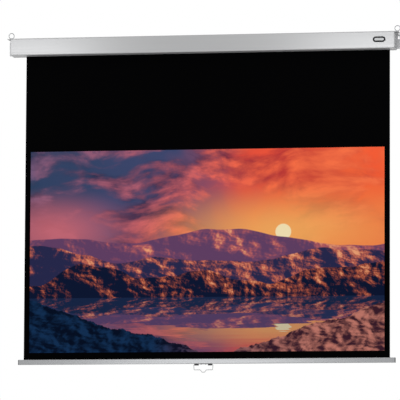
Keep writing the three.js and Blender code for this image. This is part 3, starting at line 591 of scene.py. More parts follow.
@dataclass(frozen=True)
class DuskPicture(ClothFinish):
    """The face of the cloth: black borders round a plain dusk over hills and a lake.

    The picture is worked out from formulas, in metres from the viewing area's lower left corner.
    """

    roughness: float = 0.9
    relief: tuple[float, float] = (0.08, 0.0001)
    print_roughness: float = 0.8
    left: float = 0.027
    foot: float = 0.037
    view_width: float = 1.77
    view_height: float = 1.0
    shore: float = 0.27
    fold: float = 2.1
    ripple: tuple[float, float] = (4.0, 95.0)
    ripple_height: float = 0.75
    lake: Triple = (0.018, 0.042, 0.12)
    lake_share: float = 0.35
    clear_sky: Stops = (
        (0.0, (0.024, 0.055, 0.12)), (0.25, (0.055, 0.07, 0.17)), (0.43, (0.36, 0.085, 0.13)),
        (0.58, (0.85, 0.085, 0.05)), (0.78, (1.0, 0.12, 0.04)), (1.0, (1.0, 0.25, 0.075)),
    )
    lit_cloud: Stops = (
        (0.0, (0.16, 0.11, 0.22)), (0.22, (0.52, 0.13, 0.18)), (0.43, (0.95, 0.155, 0.105)),
        (0.62, (1.0, 0.15, 0.065)), (0.85, (1.0, 0.19, 0.07)), (1.0, (1.0, 0.36, 0.13)),
    )
    dark_cloud: Stops = (
        (0.0, (0.01, 0.018, 0.05)), (0.3, (0.035, 0.026, 0.075)), (0.48, (0.16, 0.03, 0.06)),
        (0.68, (0.5, 0.04, 0.04)), (1.0, (0.8, 0.11, 0.045)),
    )
    cloud: Triple = (2.4, 7.0, 0.56)
    cloud_squeeze: Triple = (1.0, 2.1, 1.0)
    cloud_lean: Triple = (0.05, -0.075, 0.0)
    afterglow: Glow = Glow((0.12, 0.6), (0.7, 1.5), 0.36, (0.66, 0.16, 0.2))
    sun: Glow = Glow((1.27, 0.588), (0.55, 1.6), 0.44, (1.0, 0.48, 0.13))
    sun_edge: tuple[float, float] = (0.036, 0.042)
    sun_colour: Triple = (1.0, 0.84, 0.5)
    rows: tuple[HillRow, ...] = (
        HillRow(0.56, 0.12, 1.5, 3.1, (0.13, 0.055, 0.14), (0.5, 0.12, 0.13), 0.42, 4.0),
        HillRow(0.48, 0.15, 1.9, 9.4, (0.022, 0.024, 0.08), (0.55, 0.13, 0.09), 0.46, 6.0),
        HillRow(0.38, 0.16, 2.6, 5.7, (0.004, 0.009, 0.034), (0.46, 0.1, 0.055), 0.43, 8.0),
    )
    slope_squeeze: Triple = (1.0, 1.4, 1.0)
    glint: Triple = (0.95, 0.4, 0.2)
    bank_middle: float = 0.93
    bank_shades: tuple[Triple, Triple] = ((0.0015, 0.005, 0.018), (0.045, 0.013, 0.026))
    bank_lights: tuple[Triple, Triple] = ((0.007, 0.032, 0.095), (0.62, 0.22, 0.17))

    def draw(self, graph: Graph) -> None:
        """Draws the printed face with its borders, its picture and its fine weave.

        Args:
            graph: The material's tree.
        """
        cloth = graph.cloth()
        across, along = cloth.parts()
        x = across * self.width - self.left
        y = along * self.length - self.foot
        inside = self.between(x, self.view_width) * self.between(y, self.view_height)
        graph.surface(
            Base_Color=inside.mix(self.colour, self.picture(x, y)),
            Roughness=inside.step(0.0, 1.0, self.roughness, self.print_roughness),
            Specular_IOR_Level=0.015,
            Normal=self.weave(cloth).bump(*self.relief),
        )

    def between(self, value: Signal, end: float) -> Signal:
        """One where a number lies between nought and an end."""
        return value.math("GREATER_THAN", 0.0) * value.math("LESS_THAN", end)

    def picture(self, x: Signal, y: Signal) -> Signal:
        """Draws sky, hills, the lake that mirrors them, and near banks.

        Args:
            x: Metres from the viewing area's left edge.
            y: Metres above its lower edge.

        Returns:
            The picture's colour.
        """
        depth = (self.shore - y).math("MAXIMUM", 0.0)
        waves = (x * self.ripple[X]).beside(y * self.ripple[Y]).noise(detail=3.0)
        waves = (waves - 0.5) * (depth * self.ripple_height)
        far_x = x + waves * 0.5
        far_y = y.math("MAXIMUM", self.shore) + (depth * self.fold + waves)
        scene = self.hills(far_x, far_y, self.sky(far_x, far_y))
        scene = (y.math("LESS_THAN", self.shore) * self.lake_share).mix(scene, self.lake)
        return self.banks(x, y, scene)

    def sky(self, x: Signal, y: Signal) -> Signal:
        """Draws the sky: cool at the left, hot at the right, with lit banks of cloud and a low sun.

        Args:
            x: Metres from the left edge, with the lake folded up.
            y: Metres above the lower edge, with the lake folded up.

        Returns:
            The sky's colour.
        """
        far = x.beside(y)
        loose = far.drift(1.7, 0.3)
        warmth = x * 0.5 + (0.8 - y) * 0.12 + (loose.noise(1.6, 3.0) - 0.5) * 0.5
        clear, lit, dark = (warmth.ramp(row) for row in (self.clear_sky, self.lit_cloud, self.dark_cloud))
        flat = loose * self.cloud_squeeze
        body = flat.noise(*self.cloud)
        behind = (flat + self.cloud_lean).noise(*self.cloud)
        relief = ((body - behind) * 5.5).math("ADD", 0.45, clamp=True)
        sky = (body.step(0.43, 0.58) * 0.92).mix(clear, relief.mix(dark, lit))
        for glow in (self.afterglow, self.sun):
            sky = glow.over(far, sky)
        return self.sun.away(far).length().step(*self.sun_edge, 1.0, 0.0).mix(sky, self.sun_colour)

    def hills(self, x: Signal, y: Signal, drawn: Signal) -> Signal:
        """Draws rows of rounded hills, hazy to dark, with warm light on their slopes.

        Args:
            x: Metres from the left edge, with the lake folded up.
            y: Metres above the lower edge, with the lake folded up.
            drawn: The colour behind the hills.

        Returns:
            The colour with the hills before it.
        """
        for row in self.rows:
            crest = (x * row.rate).beside(row.seed).noise(1.0, 3.0, 0.35)
            under = (crest - 0.5) * (2 * row.rise) + row.level - y
            slopes = (x.beside(y) + (row.seed, row.seed, 0.0)) * self.slope_squeeze
            slopes = slopes.drift(row.grain * 0.7, 0.5 / row.grain)
            broad = self.facing(slopes, row.grain, 2.0) * 2.6
            light = broad + self.facing(slopes, row.grain * 4.5, 3.0) * 1.5
            light = light + under.step(0.0, 0.2, row.lit, row.lit - 0.3) + x.step(0.0, 1.3, -0.08, 0.08)
            middle = tuple(0.75 * a + 0.25 * b for a, b in zip(row.shade, row.light))
            slope = light.ramp(((0.3, row.shade), (0.5, middle), (0.68, row.light), (0.95, self.glint)))
            drawn = under.step(0.0, 0.005).mix(drawn, slope)
        return drawn

    def facing(self, place: Signal, scale: float, detail: float) -> Signal:
        """How far a slope faces the low sun at the right."""
        sunward = place + (0.16 / scale, 0.1 / scale, 0.0)
        return place.noise(scale, detail, 0.55) - sunward.noise(scale, detail, 0.55)

    def banks(self, x: Signal, y: Signal, scene: Signal) -> Signal:
        """Draws the near banks with a ragged edge: blue shade at the left, warm light at the right.

        Args:
            x: Metres from the viewing area's left edge.
            y: Metres above its lower edge.
            scene: The colour behind the banks.

        Returns:
            The colour with the banks before it.
        """
        edge = (x * 3.0).beside(1.7).noise(1.0, 9.0, 0.7)
        crest = (x - self.bank_middle).math("ABSOLUTE") * 0.3 + edge * 0.14 - 0.09
        ground = x.beside(y * 1.6).drift(6.0, 0.09)
        light = (self.facing(ground, 9.0, 7.0) * 2.8 + 0.46).step(0.22, 0.8)
        warm = x.step(0.6, 1.5)
        shade, lit = (warm.mix(*pair) for pair in (self.bank_shades, self.bank_lights))
        return (crest - y).step(0.0, 0.004).mix(scene, light.mix(shade, lit))


class Stock:
    """A piece of stock that is shaped with Blender's own operators."""

    def __init__(self, name: str, obj: bpy.types.Object) -> None:
        """Takes an object over.

        Args:
            name: The name that the piece gets.
            obj: The Blender object, already in place.
        """
        self.obj = obj
        obj.name = name
        obj.data.name = name
        self.settle()

    @classmethod
    def primitive(cls, name: str, add: Callable, **sizes: object) -> "Stock":
        """Adds one of Blender's primitives with nothing selected.

        Args:
            name: The name that the piece gets.
            add: The operator that adds it.
            sizes: Its sizes and its place.

        Returns:
            The piece.
        """
        deselect()
        add(**sizes)
        return cls(name, bpy.context.active_object)

    @classmethod
    def box(cls, name: str, low: Vector, high: Vector) -> "Stock":
        """A block between two corners."""
        cube = bpy.ops.mesh.primitive_cube_add
        return cls.primitive(name, cube, size=1.0, location=(low + high) / 2, scale=high - low)

    @classmethod
    def rod(cls, name: str, start: Vector, end: Vector, radius: float, sides: int = 32) -> "Stock":
        """A round bar from one point to another, with its radius in millimetres."""
        axis = end - start
        return cls.primitive(
            name, bpy.ops.mesh.primitive_cylinder_add, vertices=sides, radius=radius * MM, depth=axis.length,
            location=(start + end) / 2, rotation=axis.to_track_quat("Z", "Y").to_euler(),
        )

    @classmethod
    def from_frame(cls, name: str, node: str) -> "Stock":
        """A merged copy of a frame node, with its flat faces made whole.

        Args:
            name: The name that the piece gets.
            node: The frame node.

        Returns:
            The piece.
        """
        stock = cls(name, stand(name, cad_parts[node].data.copy()))
        stock.obj.data.materials.clear()
        if stock.obj.data.has_custom_normals:
            bpy.ops.mesh.customdata_custom_splitnormals_clear()
        with stock.editing():
            stock.merge(SAME_POINT)
            bpy.ops.mesh.dissolve_limited(angle_limit=math.radians(0.4))
        return stock

    def activate(self) -> None:
        """Makes this piece the only one selected."""
        deselect()
        self.obj.select_set(True)
        bpy.context.view_layer.objects.active = self.obj

    def settle(self) -> None:
        """Moves the object's place, turn and scale into its mesh."""
        self.activate()
        bpy.ops.object.transform_apply(location=True, rotation=True, scale=True)

    def scrap(self) -> None:
        """Takes the piece out of the scene."""
        bpy.data.objects.remove(self.obj)

    @contextmanager
    def editing(self) -> Iterator[None]:
        """Edit mode, left again at the end."""
        self.activate()
        bpy.ops.object.mode_set(mode="EDIT")
        try:
            yield
        finally:
            bpy.ops.object.mode_set(mode="OBJECT")

    def merge(self, reach: float) -> None:
        """Joins all points that are nearer than a reach in metres, in edit mode."""
        bpy.ops.mesh.select_all(action="SELECT")
        bpy.ops.mesh.remove_doubles(threshold=reach)

    def pick(self, test: Callable, faces: bool = False) -> bool:
        """Selects the edges or faces that pass a test, in edit mode.

        Args:
            test: The test.
            faces: Whether it is a test of faces.

        Returns:
            Whether there are any.
        """
        bpy.ops.mesh.select_mode(type="FACE" if faces else "EDGE")
        bpy.ops.mesh.select_all(action="DESELECT")
        mesh = bmesh.from_edit_mesh(self.obj.data)
        picked = [part for part in (mesh.faces if faces else mesh.edges) if test(part)]
        for part in picked:
            part.select_set(True)
        bmesh.update_edit_mesh(self.obj.data)
        return bool(picked)

    def bevel(self, edges: Callable, width: float, segments: int = 3) -> "Stock":
        """Rounds the edges that pass a test.

        Args:
            edges: The test.
            width: The round's width in millimetres.
            segments: Faces across it.

        Returns:
            This piece.
        """
        with self.editing():
            if self.pick(edges):
                bpy.ops.mesh.bevel(offset=width * MM, segments=segments, affect="EDGES", clamp_overlap=True)
        return self

    def modified(self, kind: str, **settings: object) -> "Stock":
        """Puts a modifier on the piece and applies it.

        Args:
            kind: The modifier's type.
            settings: Its settings.

        Returns:
            This piece.
        """
        modifier = self.obj.modifiers.new(kind.lower(), kind)
        for name, value in settings.items():
            setattr(modifier, name, value)
        self.activate()
        bpy.ops.object.modifier_apply(modifier=modifier.name)
        return self

    def soften(self, width: float, segments: int = 2, angle: float = 40.0) -> "Stock":
        """Rounds every edge sharper than an angle, by a width in millimetres."""
        return self.modified(
            "BEVEL", width=width * MM, segments=segments, limit_method="ANGLE",
            angle_limit=math.radians(angle), use_clamp_overlap=True,
        )

    def carve(self, tool: "Stock", how: Cut = Cut.TAKE_AWAY) -> None:
        """Cuts with another piece, which is used up."""
        self.modified("BOOLEAN", operation=how.value, object=tool.obj, solver="EXACT")
        tool.scrap()

    def wind(self, axis: str, pitch: float, turns: int, steps: int) -> "Stock":
        """Winds the piece, an outline placed about the origin, into a closed coil.

        Args:
            axis: The coil's axis.
            pitch: How far a turn climbs, in millimetres.
            turns: How many turns.
            steps: Steps in a turn.

        Returns:
            This piece, with its ends closed and its faces turned outwards.
        """
        self.modified(
            "SCREW", axis=axis, angle=2 * math.pi, screw_offset=pitch * MM, iterations=turns, steps=steps,
            render_steps=steps,
        )
        with self.editing():
            self.merge(SAME_POINT)
            bpy.ops.mesh.fill_holes(sides=0)
            bpy.ops.mesh.select_all(action="SELECT")
            bpy.ops.mesh.normals_make_consistent(inside=False)
        return self

    def join(self, *others: "Stock") -> "Stock":
        """Joins other pieces into this one.

        Args:
            others: The pieces, which are used up.

        Returns:
            This piece.
        """
        self.activate()
        for other in others:
            other.obj.select_set(True)
        bpy.ops.object.join()
        return self

    def copied(self, name: str, to: Vector, turn: Matrix = Matrix.Identity(3)) -> "Stock":
        """A copy with its own mesh, turned about the origin and then moved.

        Args:
            name: The copy's name.
            to: Where it goes.
            turn: How it is turned.

        Returns:
            The copy.
        """
        copy = stand(name, self.obj.data.copy())
        copy.matrix_world = Matrix.Translation(to) @ turn.to_4x4()
        return Stock(name, copy)

    def dressed(self, body: Body, finish: Finish, node: str, angle: float = 32.0, rigid: bool = True) -> None:
        """Smooths the piece, gives it its finish and puts it on its body.

        Args:
            body: The body that it rides on.
            finish: Its finish.
            node: The frame's node that it stands for.
            angle: Faces that meet at less than this are shaded as one surface.
            rigid: Whether its large flat faces set the shading where rounded edges meet them.
        """
        self.settle()
        bpy.ops.object.shade_smooth_by_angle(angle=math.radians(angle))
        if rigid:
            self.modified("WEIGHTED_NORMAL", keep_sharp=True)
        if not self.obj.data.materials:
            self.obj.data.materials.append(finish.material())
        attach(self.obj, body.value)
        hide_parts(node)
        log.info("%s: %d faces, on body %s", self.obj.name, len(self.obj.data.polygons), body.value)


SILVER = PowderCoat("satin_silver", Slot.CASE, (0.435, 0.438, 0.444))
PLATE_SILVER = PowderCoat("satin_silver_plate", Slot.PLATE, (0.4, 0.403, 0.41))
ZINC = PlatedMetal("bright_zinc", Slot.ZINC, (0.26, 0.268, 0.275))
BRIGHT_WIRE = PlatedMetal("bright_wire", Slot.WIRE, (0.34, 0.345, 0.345), 0.22)
STEEL = TurnedMetal("turned_steel", Slot.STEEL, (0.4, 0.41, 0.42))
SPRING_STEEL = PlatedMetal("oiled_spring_steel", Slot.SPRING, (0.2, 0.205, 0.21), 0.35)
BAR_SILVER = BrushedMetal("drawn_aluminium", Slot.BAR, (0.325, 0.33, 0.338))
CAP_BLACK = MouldedPlastic("cap_black_plastic", Slot.CAP, (0.014, 0.015, 0.016))
BRACKET_BLACK = MouldedPlastic("bracket_black_coat", Slot.BRACKET, (0.016, 0.017, 0.019), 0.42)
RIM_BLACK = MouldedPlastic(
    "badge_black_satin", Slot.BADGE_RIM, (0.007, 0.008, 0.009), relief=(0.05, 0.00015), gloss=0.15
)
INLAY_SILVER = BrushedMetal("badge_brushed_silver", Slot.BADGE_FACE, (0.36, 0.365, 0.37), 0.45, metallic=0.3)
WHITE_NYLON = MouldedPlastic("natural_nylon", Slot.NYLON, (0.72, 0.7, 0.64), 0.55, relief=(0.1, 0.00015))
GREY_ACETAL = MouldedPlastic("grey_acetal", Slot.ACETAL, (0.045, 0.048, 0.052), 0.4, relief=(0.1, 0.00015))
CLOTH_FACE = DuskPicture("printed_screen_face", Slot.CLOTH, (0.0008, 0.0008, 0.001))
CLOTH_BACK = BackingCloth("black_cloth_backing", Slot.CLOTH, (0.006, 0.006, 0.007))


@dataclass
class Screw:
    """A pan-headed screw with a cross recess, modelled head up on +Z with its seat at height nought."""

    length: float
    head_radius: float = 2.8
    head_height: float = 2.0
    head_round: float = 0.9
    shank_radius: float = 1.5
    shank_overlap: float = 0.1
    tip_round: float = 0.5
    recess: float = 3.2
    recess_floor: float = 0.8
    slot: float = 0.8

    def model(self) -> Stock:
        """Makes the head, its recess and the shank.

        Returns:
            The screw.
        """
        crown = self.head_height
        head = Stock.rod("screw_pattern", point(0, 0, 0), point(0, 0, crown), self.head_radius, 24)
        head.bevel(lying_at(Z, crown * MM), self.head_round, 4)
        for across, along in ((self.slot, self.recess), (self.recess, self.slot)):
            low = point(-across / 2, -along / 2, self.recess_floor)
            head.carve(Stock.box("recess_tool", low, point(across / 2, along / 2, crown + 1)))
        tip = point(0, 0, -self.length)
        shank = Stock.rod("shank", tip, point(0, 0, self.shank_overlap), self.shank_radius, 16)
        return head.join(shank.bevel(lying_at(Z, tip.z), self.tip_round, 1))


@dataclass
class Thread:
    """A V thread on a round shank along Z."""

    foot: float
    top: float
    crest: float = 2.5
    depth: float = 0.42
    pitch: float = 0.8
    overlap: float = 0.05
    gap: float = 0.1
    steps: int = 16

    def model(self) -> Stock:
        """Winds one closed ridge up a core.

        Returns:
            The threaded shank.
        """
        root = self.crest - self.depth
        core = Stock.rod(
            "threaded_shank", point(0, 0, self.foot), point(0, 0, self.top), root + self.overlap, 24
        )
        circle = bpy.ops.mesh.primitive_circle_add
        ridge = Stock.primitive("ridge", circle, vertices=3, radius=self.pitch / 2 * MM, fill_type="NOTHING")
        corners = ((root, self.gap), (self.crest, self.pitch / 2), (root, self.pitch - self.gap))
        for vertex, (radius, rise) in zip(ridge.obj.data.vertices, corners):
            vertex.co = point(radius, 0, self.foot + rise)
        turns = int((self.top - self.foot) / self.pitch) - 1
        return core.join(ridge.wind("Z", self.pitch, turns, self.steps))


@dataclass
class CaseAssembly:
    """The extruded case, its end plates, fixings, eye bolts and badge."""

    end: float = 960.25
    top: float = 42.5
    plate: float = 2.0
    plate_round: float = 0.3
    seat_gap: float = 0.3
    screw_length: float = 12.0
    port_y: tuple[float, float] = (-84.2, -5.8)
    port_z: tuple[float, float] = (-36.7, 36.7)
    rivet_radius: float = 1.6
    rivet_inset: float = 0.1
    rivet_head: float = 1.2
    rivet_round: float = 0.9
    eye_x: float = 969.25
    eye_y: float = -30.0
    eye_rise: float = 21.0
    eye_radius: float = 13.2
    eye_wire: float = 1.8
    collar_radius: float = 3.1
    collar_height: float = 3.2
    collar_overlap: float = 0.6
    collar_round: float = 0.8
    thread_below: float = 12.0
    thread_short: float = 3.0
    nut_flats: float = 8.0
    nut_height: float = 4.0
    nut_bore: float = 2.7
    nut_chamfer: float = 0.65
    nut_round: float = 0.12
    badge: Triple = (886.25, -90.3, 2.0)
    badge_size: Triple = (62.0, 1.6, 28.0)
    badge_rim: float = 7.5
    badge_round: float = 0.35
    badge_pocket: float = 1.0
    inlay_front: float = -1.4
    inlay_back: float = -0.9
    inlay_round: float = 0.15

    def build(self) -> None:
        """Builds every piece of the case."""
        Stock.from_frame("extruded_case", "case_shell").dressed(Body.CASE, SILVER, "case_shell")
        for side in Side:
            node = f"end_plate_{side.label}"
            plate = Stock.from_frame(f"folded_end_{side.label}", node).soften(self.plate_round)
            plate.dressed(Body.CASE, PLATE_SILVER, node)
        self.drive_screws()
        for side in Side:
            for row in (1, 2):
                self.set_rivet(f"{side.label}_{row}")
        self.hang_eye_bolts()
        self.build_badge()

    def drive_screws(self) -> None:
        """Drives four screws through each end plate."""
        pattern = Screw(self.screw_length).model()
        places = [(y, z) for y in self.port_y for z in self.port_z]
        for side in Side:
            turn = Matrix.Rotation(side.value * math.pi / 2, 3, "Y")
            for row, (y, z) in enumerate(places, start=1):
                seat = point(side.value * (self.end + self.seat_gap), y, z)
                screw = pattern.copied(f"plate_screw_{side.label}_{row}", seat, turn)
                screw.dressed(Body.CASE, ZINC, f"end_screw_{side.label}_{row}")
        pattern.scrap()

    def set_rivet(self, place: str) -> None:
        """Sets a rivet, domed on both sides, through a roller bracket and its end plate.

        Args:
            place: Its end and number, as in the name of its frame node.
        """
        node = f"bracket_rivet_{place}"
        low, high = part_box(node)
        middle = (low + high) / 2
        start, end = (Vector((x, middle.y, middle.z)) for x in (low.x, high.x))
        inset, rise = point(self.rivet_inset, 0, 0), point(self.rivet_head, 0, 0)
        rivet = Stock.rod(f"domed_rivet_{place}", start + inset, end - inset, self.rivet_radius, 16)
        for crown, neck in ((start, start + rise), (end, end - rise)):
            head = Stock.rod("head", crown, neck, (high.z - low.z) / 2 / MM, 24)
            rivet.join(head.bevel(lying_at(X, crown.x), self.rivet_round, 4))
        rivet.dressed(Body.CASE, ZINC, node)

    def hang_eye_bolts(self) -> None:
        """Hangs an eye bolt in each ceiling ear, with a nut above and below the ear."""
        nut = self.nut_pattern()
        root = self.eye_rise - self.eye_radius
        thread = Thread(-self.plate - self.thread_below, root - self.thread_short).model()
        nut_seats = {"upper": self.seat_gap, "lower": -self.plate - self.seat_gap - self.nut_height}
        for side in Side:
            ear = point(side.value * self.eye_x, self.eye_y, self.top)
            ring = Stock.primitive(
                f"forged_eye_{side.label}", bpy.ops.mesh.primitive_torus_add,
                major_radius=self.eye_radius * MM, minor_radius=self.eye_wire * MM, major_segments=56,
                minor_segments=16, location=ear + point(0, 0, self.eye_rise), rotation=(math.pi / 2, 0, 0),
            )
            foot = ear + point(0, 0, root - self.collar_height)
            top = ear + point(0, 0, root + self.collar_overlap)
            collar = Stock.rod("collar", foot, top, self.collar_radius, 24)
            ring.join(collar.bevel(lying_at(Z, foot.z), self.collar_round), thread.copied("shank", ear))
            ring.dressed(Body.CASE, ZINC, f"eye_bolt_{side.label}")
            for label, height in nut_seats.items():
                copy = nut.copied(f"hex_nut_{label}_{side.label}", ear + point(0, 0, height))
                copy.dressed(Body.CASE, ZINC, f"eye_nut_{label}_{side.label}")
        thread.scrap()
        nut.scrap()

    def nut_pattern(self) -> Stock:
        """A hexagon nut with chamfered corners and a plain bore, standing on height nought.

        Returns:
            The nut.
        """
        corner = self.nut_flats / 2 / math.cos(math.pi / 6)
        foot, top = point(0, 0, 0), point(0, 0, self.nut_height)
        nut = Stock.rod("nut_pattern", foot, top, corner, 6)
        nut.obj.data.transform(Matrix.Rotation(math.pi / 6, 4, "Z"))
        chamfer = Stock.rod("chamfer_tool", foot, top, corner + 0.05, 48)
        nut.carve(chamfer.bevel(lying_at(Z, foot.z, top.z), self.nut_chamfer, 1), Cut.KEEP_COMMON)
        nut.carve(Stock.rod("bore_tool", foot - point(0, 0, 1), top + point(0, 0, 1), self.nut_bore))
        return nut.soften(self.nut_round, 1, 50.0)

    def build_badge(self) -> None:
        """Makes the badge's rim with its pocket, and the bare inlay."""
        length, depth, height = self.badge_size
        rim = self.stadium("badge_rim", length, height, -depth, 0.0)
        with rim.editing():
            rim.pick(lambda face: face.normal.y < -0.9, faces=True)
            bpy.ops.mesh.inset(thickness=self.badge_rim * MM, depth=0.0)
            bpy.ops.mesh.extrude_region_move(TRANSFORM_OT_translate={"value": (0, self.badge_pocket * MM, 0)})
        rim.soften(self.badge_round, 3).dressed(Body.CASE, RIM_BLACK, "badge_frame")
        margin = 2 * (self.badge_rim + self.seat_gap)
        faces = (self.inlay_front, self.inlay_back)
        inlay = self.stadium("badge_plate", length - margin, height - margin, *faces)
        inlay.soften(self.inlay_round).dressed(Body.CASE, INLAY_SILVER, "badge_inlay")

    def stadium(self, name: str, length: float, height: float, front: float, back: float) -> Stock:
        """A plate with round ends at the badge's place.

        Args:
            name: The piece's name.
            length: Its length.
            height: Its height.
            front: Its front face, along Y from the badge's place.
            back: Its back face, in the same way.

        Returns:
            The plate.
        """
        x, y, z = self.badge
        low = point(x - length / 2, y + front, z - height / 2)
        high = point(x + length / 2, y + back, z + height / 2)
        plate = Stock.box(name, low, high).bevel(running_along(Y), height / 2 - 0.005, 16)
        with plate.editing():
            plate.merge(0.03 * MM)
        return plate


@dataclass
class ScreenCloth:
    """The screen cloth: the hanging sheet, the turns on the roller and the loop round the hem rod."""

    left: float = -891.95
    right: float = 932.05
    y: float = -29.65
    top: float = 0.0
    bottom: float = -1557.6
    travel: float = 1510.0
    thickness: float = 0.5
    columns: int = 120
    rows: int = 100
    slot_share: float = 0.06
    curl: float = 1.6
    ripple: float = 0.25
    roller_y: float = -55.0
    inner_radius: float = 22.8
    turns: int = 4
    turn_steps: int = 56
    wound_thickness: float = 0.45
    hem_z: float = -1561.1
    hem_radius: float = 2.75
    hem_thickness: float = 0.85
    hem_steps: int = 28
    strip_columns: int = 12

    def build(self) -> None:
        hem = self.hem_loop()
        wound = self.wound_turns()
        sheet = self.hanging_sheet()
        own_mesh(sheet)

    def hanging_sheet(self) -> bpy.types.Object:
        """Hangs a fine grid with the slight forward curl of its side edges.

        Returns:
            The sheet.
        """
        deselect()
        width, height = self.right - self.left, self.top - self.bottom
        bpy.ops.mesh.primitive_grid_add(
            x_subdivisions=self.columns, y_subdivisions=self.rows, size=1.0,
            location=point((self.left + self.right) / 2, self.y, (self.top + self.bottom) / 2),
            rotation=(math.pi / 2, 0, 0),
        )
        bpy.context.active_object.scale = (width * MM, height * MM, 1.0)
        sheet = Stock("screen_face", bpy.context.active_object)
        mesh = sheet.obj.data
        spots = []
        for vertex in mesh.vertices:
            across = (vertex.co.x / MM - self.left) / width
            spots.append((across, (vertex.co.z / MM - self.bottom) / height))
            vertex.co.y += self.lean(across, (self.top - vertex.co.z / MM) / height) * MM
        self.lay_out(mesh, spots)
        mesh.materials.append(CLOTH_FACE.material())
        mesh.materials.append(CLOTH_BACK.material())
        return self.thickened(sheet, self.thickness, Body.CASE, "screen_sheet", back=1)

    def lean(self, across: float, down: float) -> float:
        """How far a point of the sheet stands behind its plane, in millimetres.

        Args:
            across: The point's share of the width, from the left.
            down: Its share of the drop, from the top.

        Returns:
            The offset along Y, nought at the slot and at the bar.
        """
        loose = min(1.0, max(0.0, (down - self.slot_share) / (1 - self.slot_share)))
        edge = abs(2 * across - 1) ** 14
        ripple = self.ripple * math.sin(19.0 * across + 2.0 * down) * math.sin(5.0 * down)
        return math.sin(math.pi * loose) ** 0.7 * (ripple - self.curl * edge)

    def lay_out(self, mesh: bpy.types.Mesh, spots: Sequence[tuple[float, float]]) -> None:
        """Gives a mesh the cloth's own coordinates.

        Args:
            mesh: The mesh.
            spots: For each vertex, its shares of the cloth's width and length.
        """
        while mesh.uv_layers:
            mesh.uv_layers.remove(mesh.uv_layers[0])
        layer = mesh.uv_layers.new(name="cloth")
        for loop in mesh.loops:
            layer.data[loop.index].uv = spots[loop.vertex_index]

    def thickened(
        self, cloth: Stock, thickness: float, body: Body, node: str, back: int = 0
    ) -> bpy.types.Object:
        """Gives a cloth its thickness and dresses it.

        Args:
            cloth: The cloth, as one surface.
            thickness: Its thickness.
            body: The body that it rides on.
            node: The frame's node that it stands for.
            back: How many materials on from the face's the one for its back and rim is.

        Returns:
            The cloth.
        """
        cloth.modified(
            "SOLIDIFY", thickness=thickness * MM, offset=0.0, material_offset=back, material_offset_rim=back
        )
        cloth.dressed(body, CLOTH_BACK, node, rigid=False)
        return cloth.obj

    def strip(self, name: str, section: list[tuple[float, float]], closed: bool = False) -> Stock:
        """Carries a section in (y, z) along the cloth's width as one surface.

        Args:
            name: The piece's name.
            section: Points in millimetres.
            closed: Whether the section's end meets its start.

        Returns:
            The surface, with the cloth's own coordinates.
        """
        count, columns = len(section), self.strip_columns
        points, spots = [], []
        for column in range(columns + 1):
            x = self.left + (self.right - self.left) * column / columns
            points += [point(x, y, z) for y, z in section]
            spots += [(column / columns, step / count) for step in range(count)]
        faces = []
        for first in range(0, columns * count, count):
            for step in range(count if closed else count - 1):
                a, b = first + step, first + (step + 1) % count
                faces.append((a, b, b + count, a + count))
        mesh = bpy.data.meshes.new(name)
        mesh.from_pydata(points, [], faces)
        self.lay_out(mesh, spots)
        mesh.materials.append(CLOTH_BACK.material())
        return Stock(name, stand(name, mesh))

    def wound_turns(self) -> bpy.types.Object:
        """Winds the cloth that stays on the roller, as one spiral.

        Returns:
            The wound cloth.
        """
        steps = self.turn_steps * self.turns
        section = []
        for step in range(steps + 1):
            angle = 2 * math.pi * self.turns * step / steps
            radius = self.inner_radius + self.thickness * (0.5 + (self.turns - 1) * step / steps)
            section.append((self.roller_y + radius * math.cos(angle), -radius * math.sin(angle)))
        cloth = self.strip("wound_cloth", section)
        return self.thickened(cloth, self.wound_thickness, Body.ROLLER, "wound_turns")

    def hem_loop(self) -> bpy.types.Object:
        """Loops the cloth's foot round the hem rod.

        Returns:
            The loop.
        """
        section = []
        for step in range(self.hem_steps):
            angle = 2 * math.pi * step / self.hem_steps
            y, z = self.hem_radius * math.sin(angle), self.hem_radius * math.cos(angle)
            section.append((self.y + y, self.hem_z + z))
        cloth = self.strip("hem_loop", section, closed=True)
        return self.thickened(cloth, self.hem_thickness, Body.BAR, "hem_pocket")


@dataclass
class RollerAssembly:
    """The turning pieces of the roller that are finer here than in the frame."""

    y: float = -55.0
    spring_radius: float = 13.25
    spring_wire: float = 1.25
    spring_pitch: float = 6.0
    spring_turns: int = 28
    spring_steps: int = 24

    def build(self) -> None:
        """Builds the tube with its smooth wall and the winding spring."""
        Stock.from_frame("rolled_tube", "roller_tube").dressed(Body.ROLLER, STEEL, "roller_tube")
        low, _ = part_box("winding_spring")
        coil = Stock.primitive(
            "wound_spring", bpy.ops.mesh.primitive_circle_add, vertices=12, radius=self.spring_wire * MM,
            fill_type="NOTHING", location=point(0, self.spring_radius, 0),
        )
        coil.wind("X", self.spring_pitch, self.spring_turns, self.spring_steps)
        coil.obj.location = (low.x + self.spring_wire * MM, self.y * MM, 0)
        coil.dressed(Body.ROLLER, SPRING_STEEL, "winding_spring", angle=50.0)


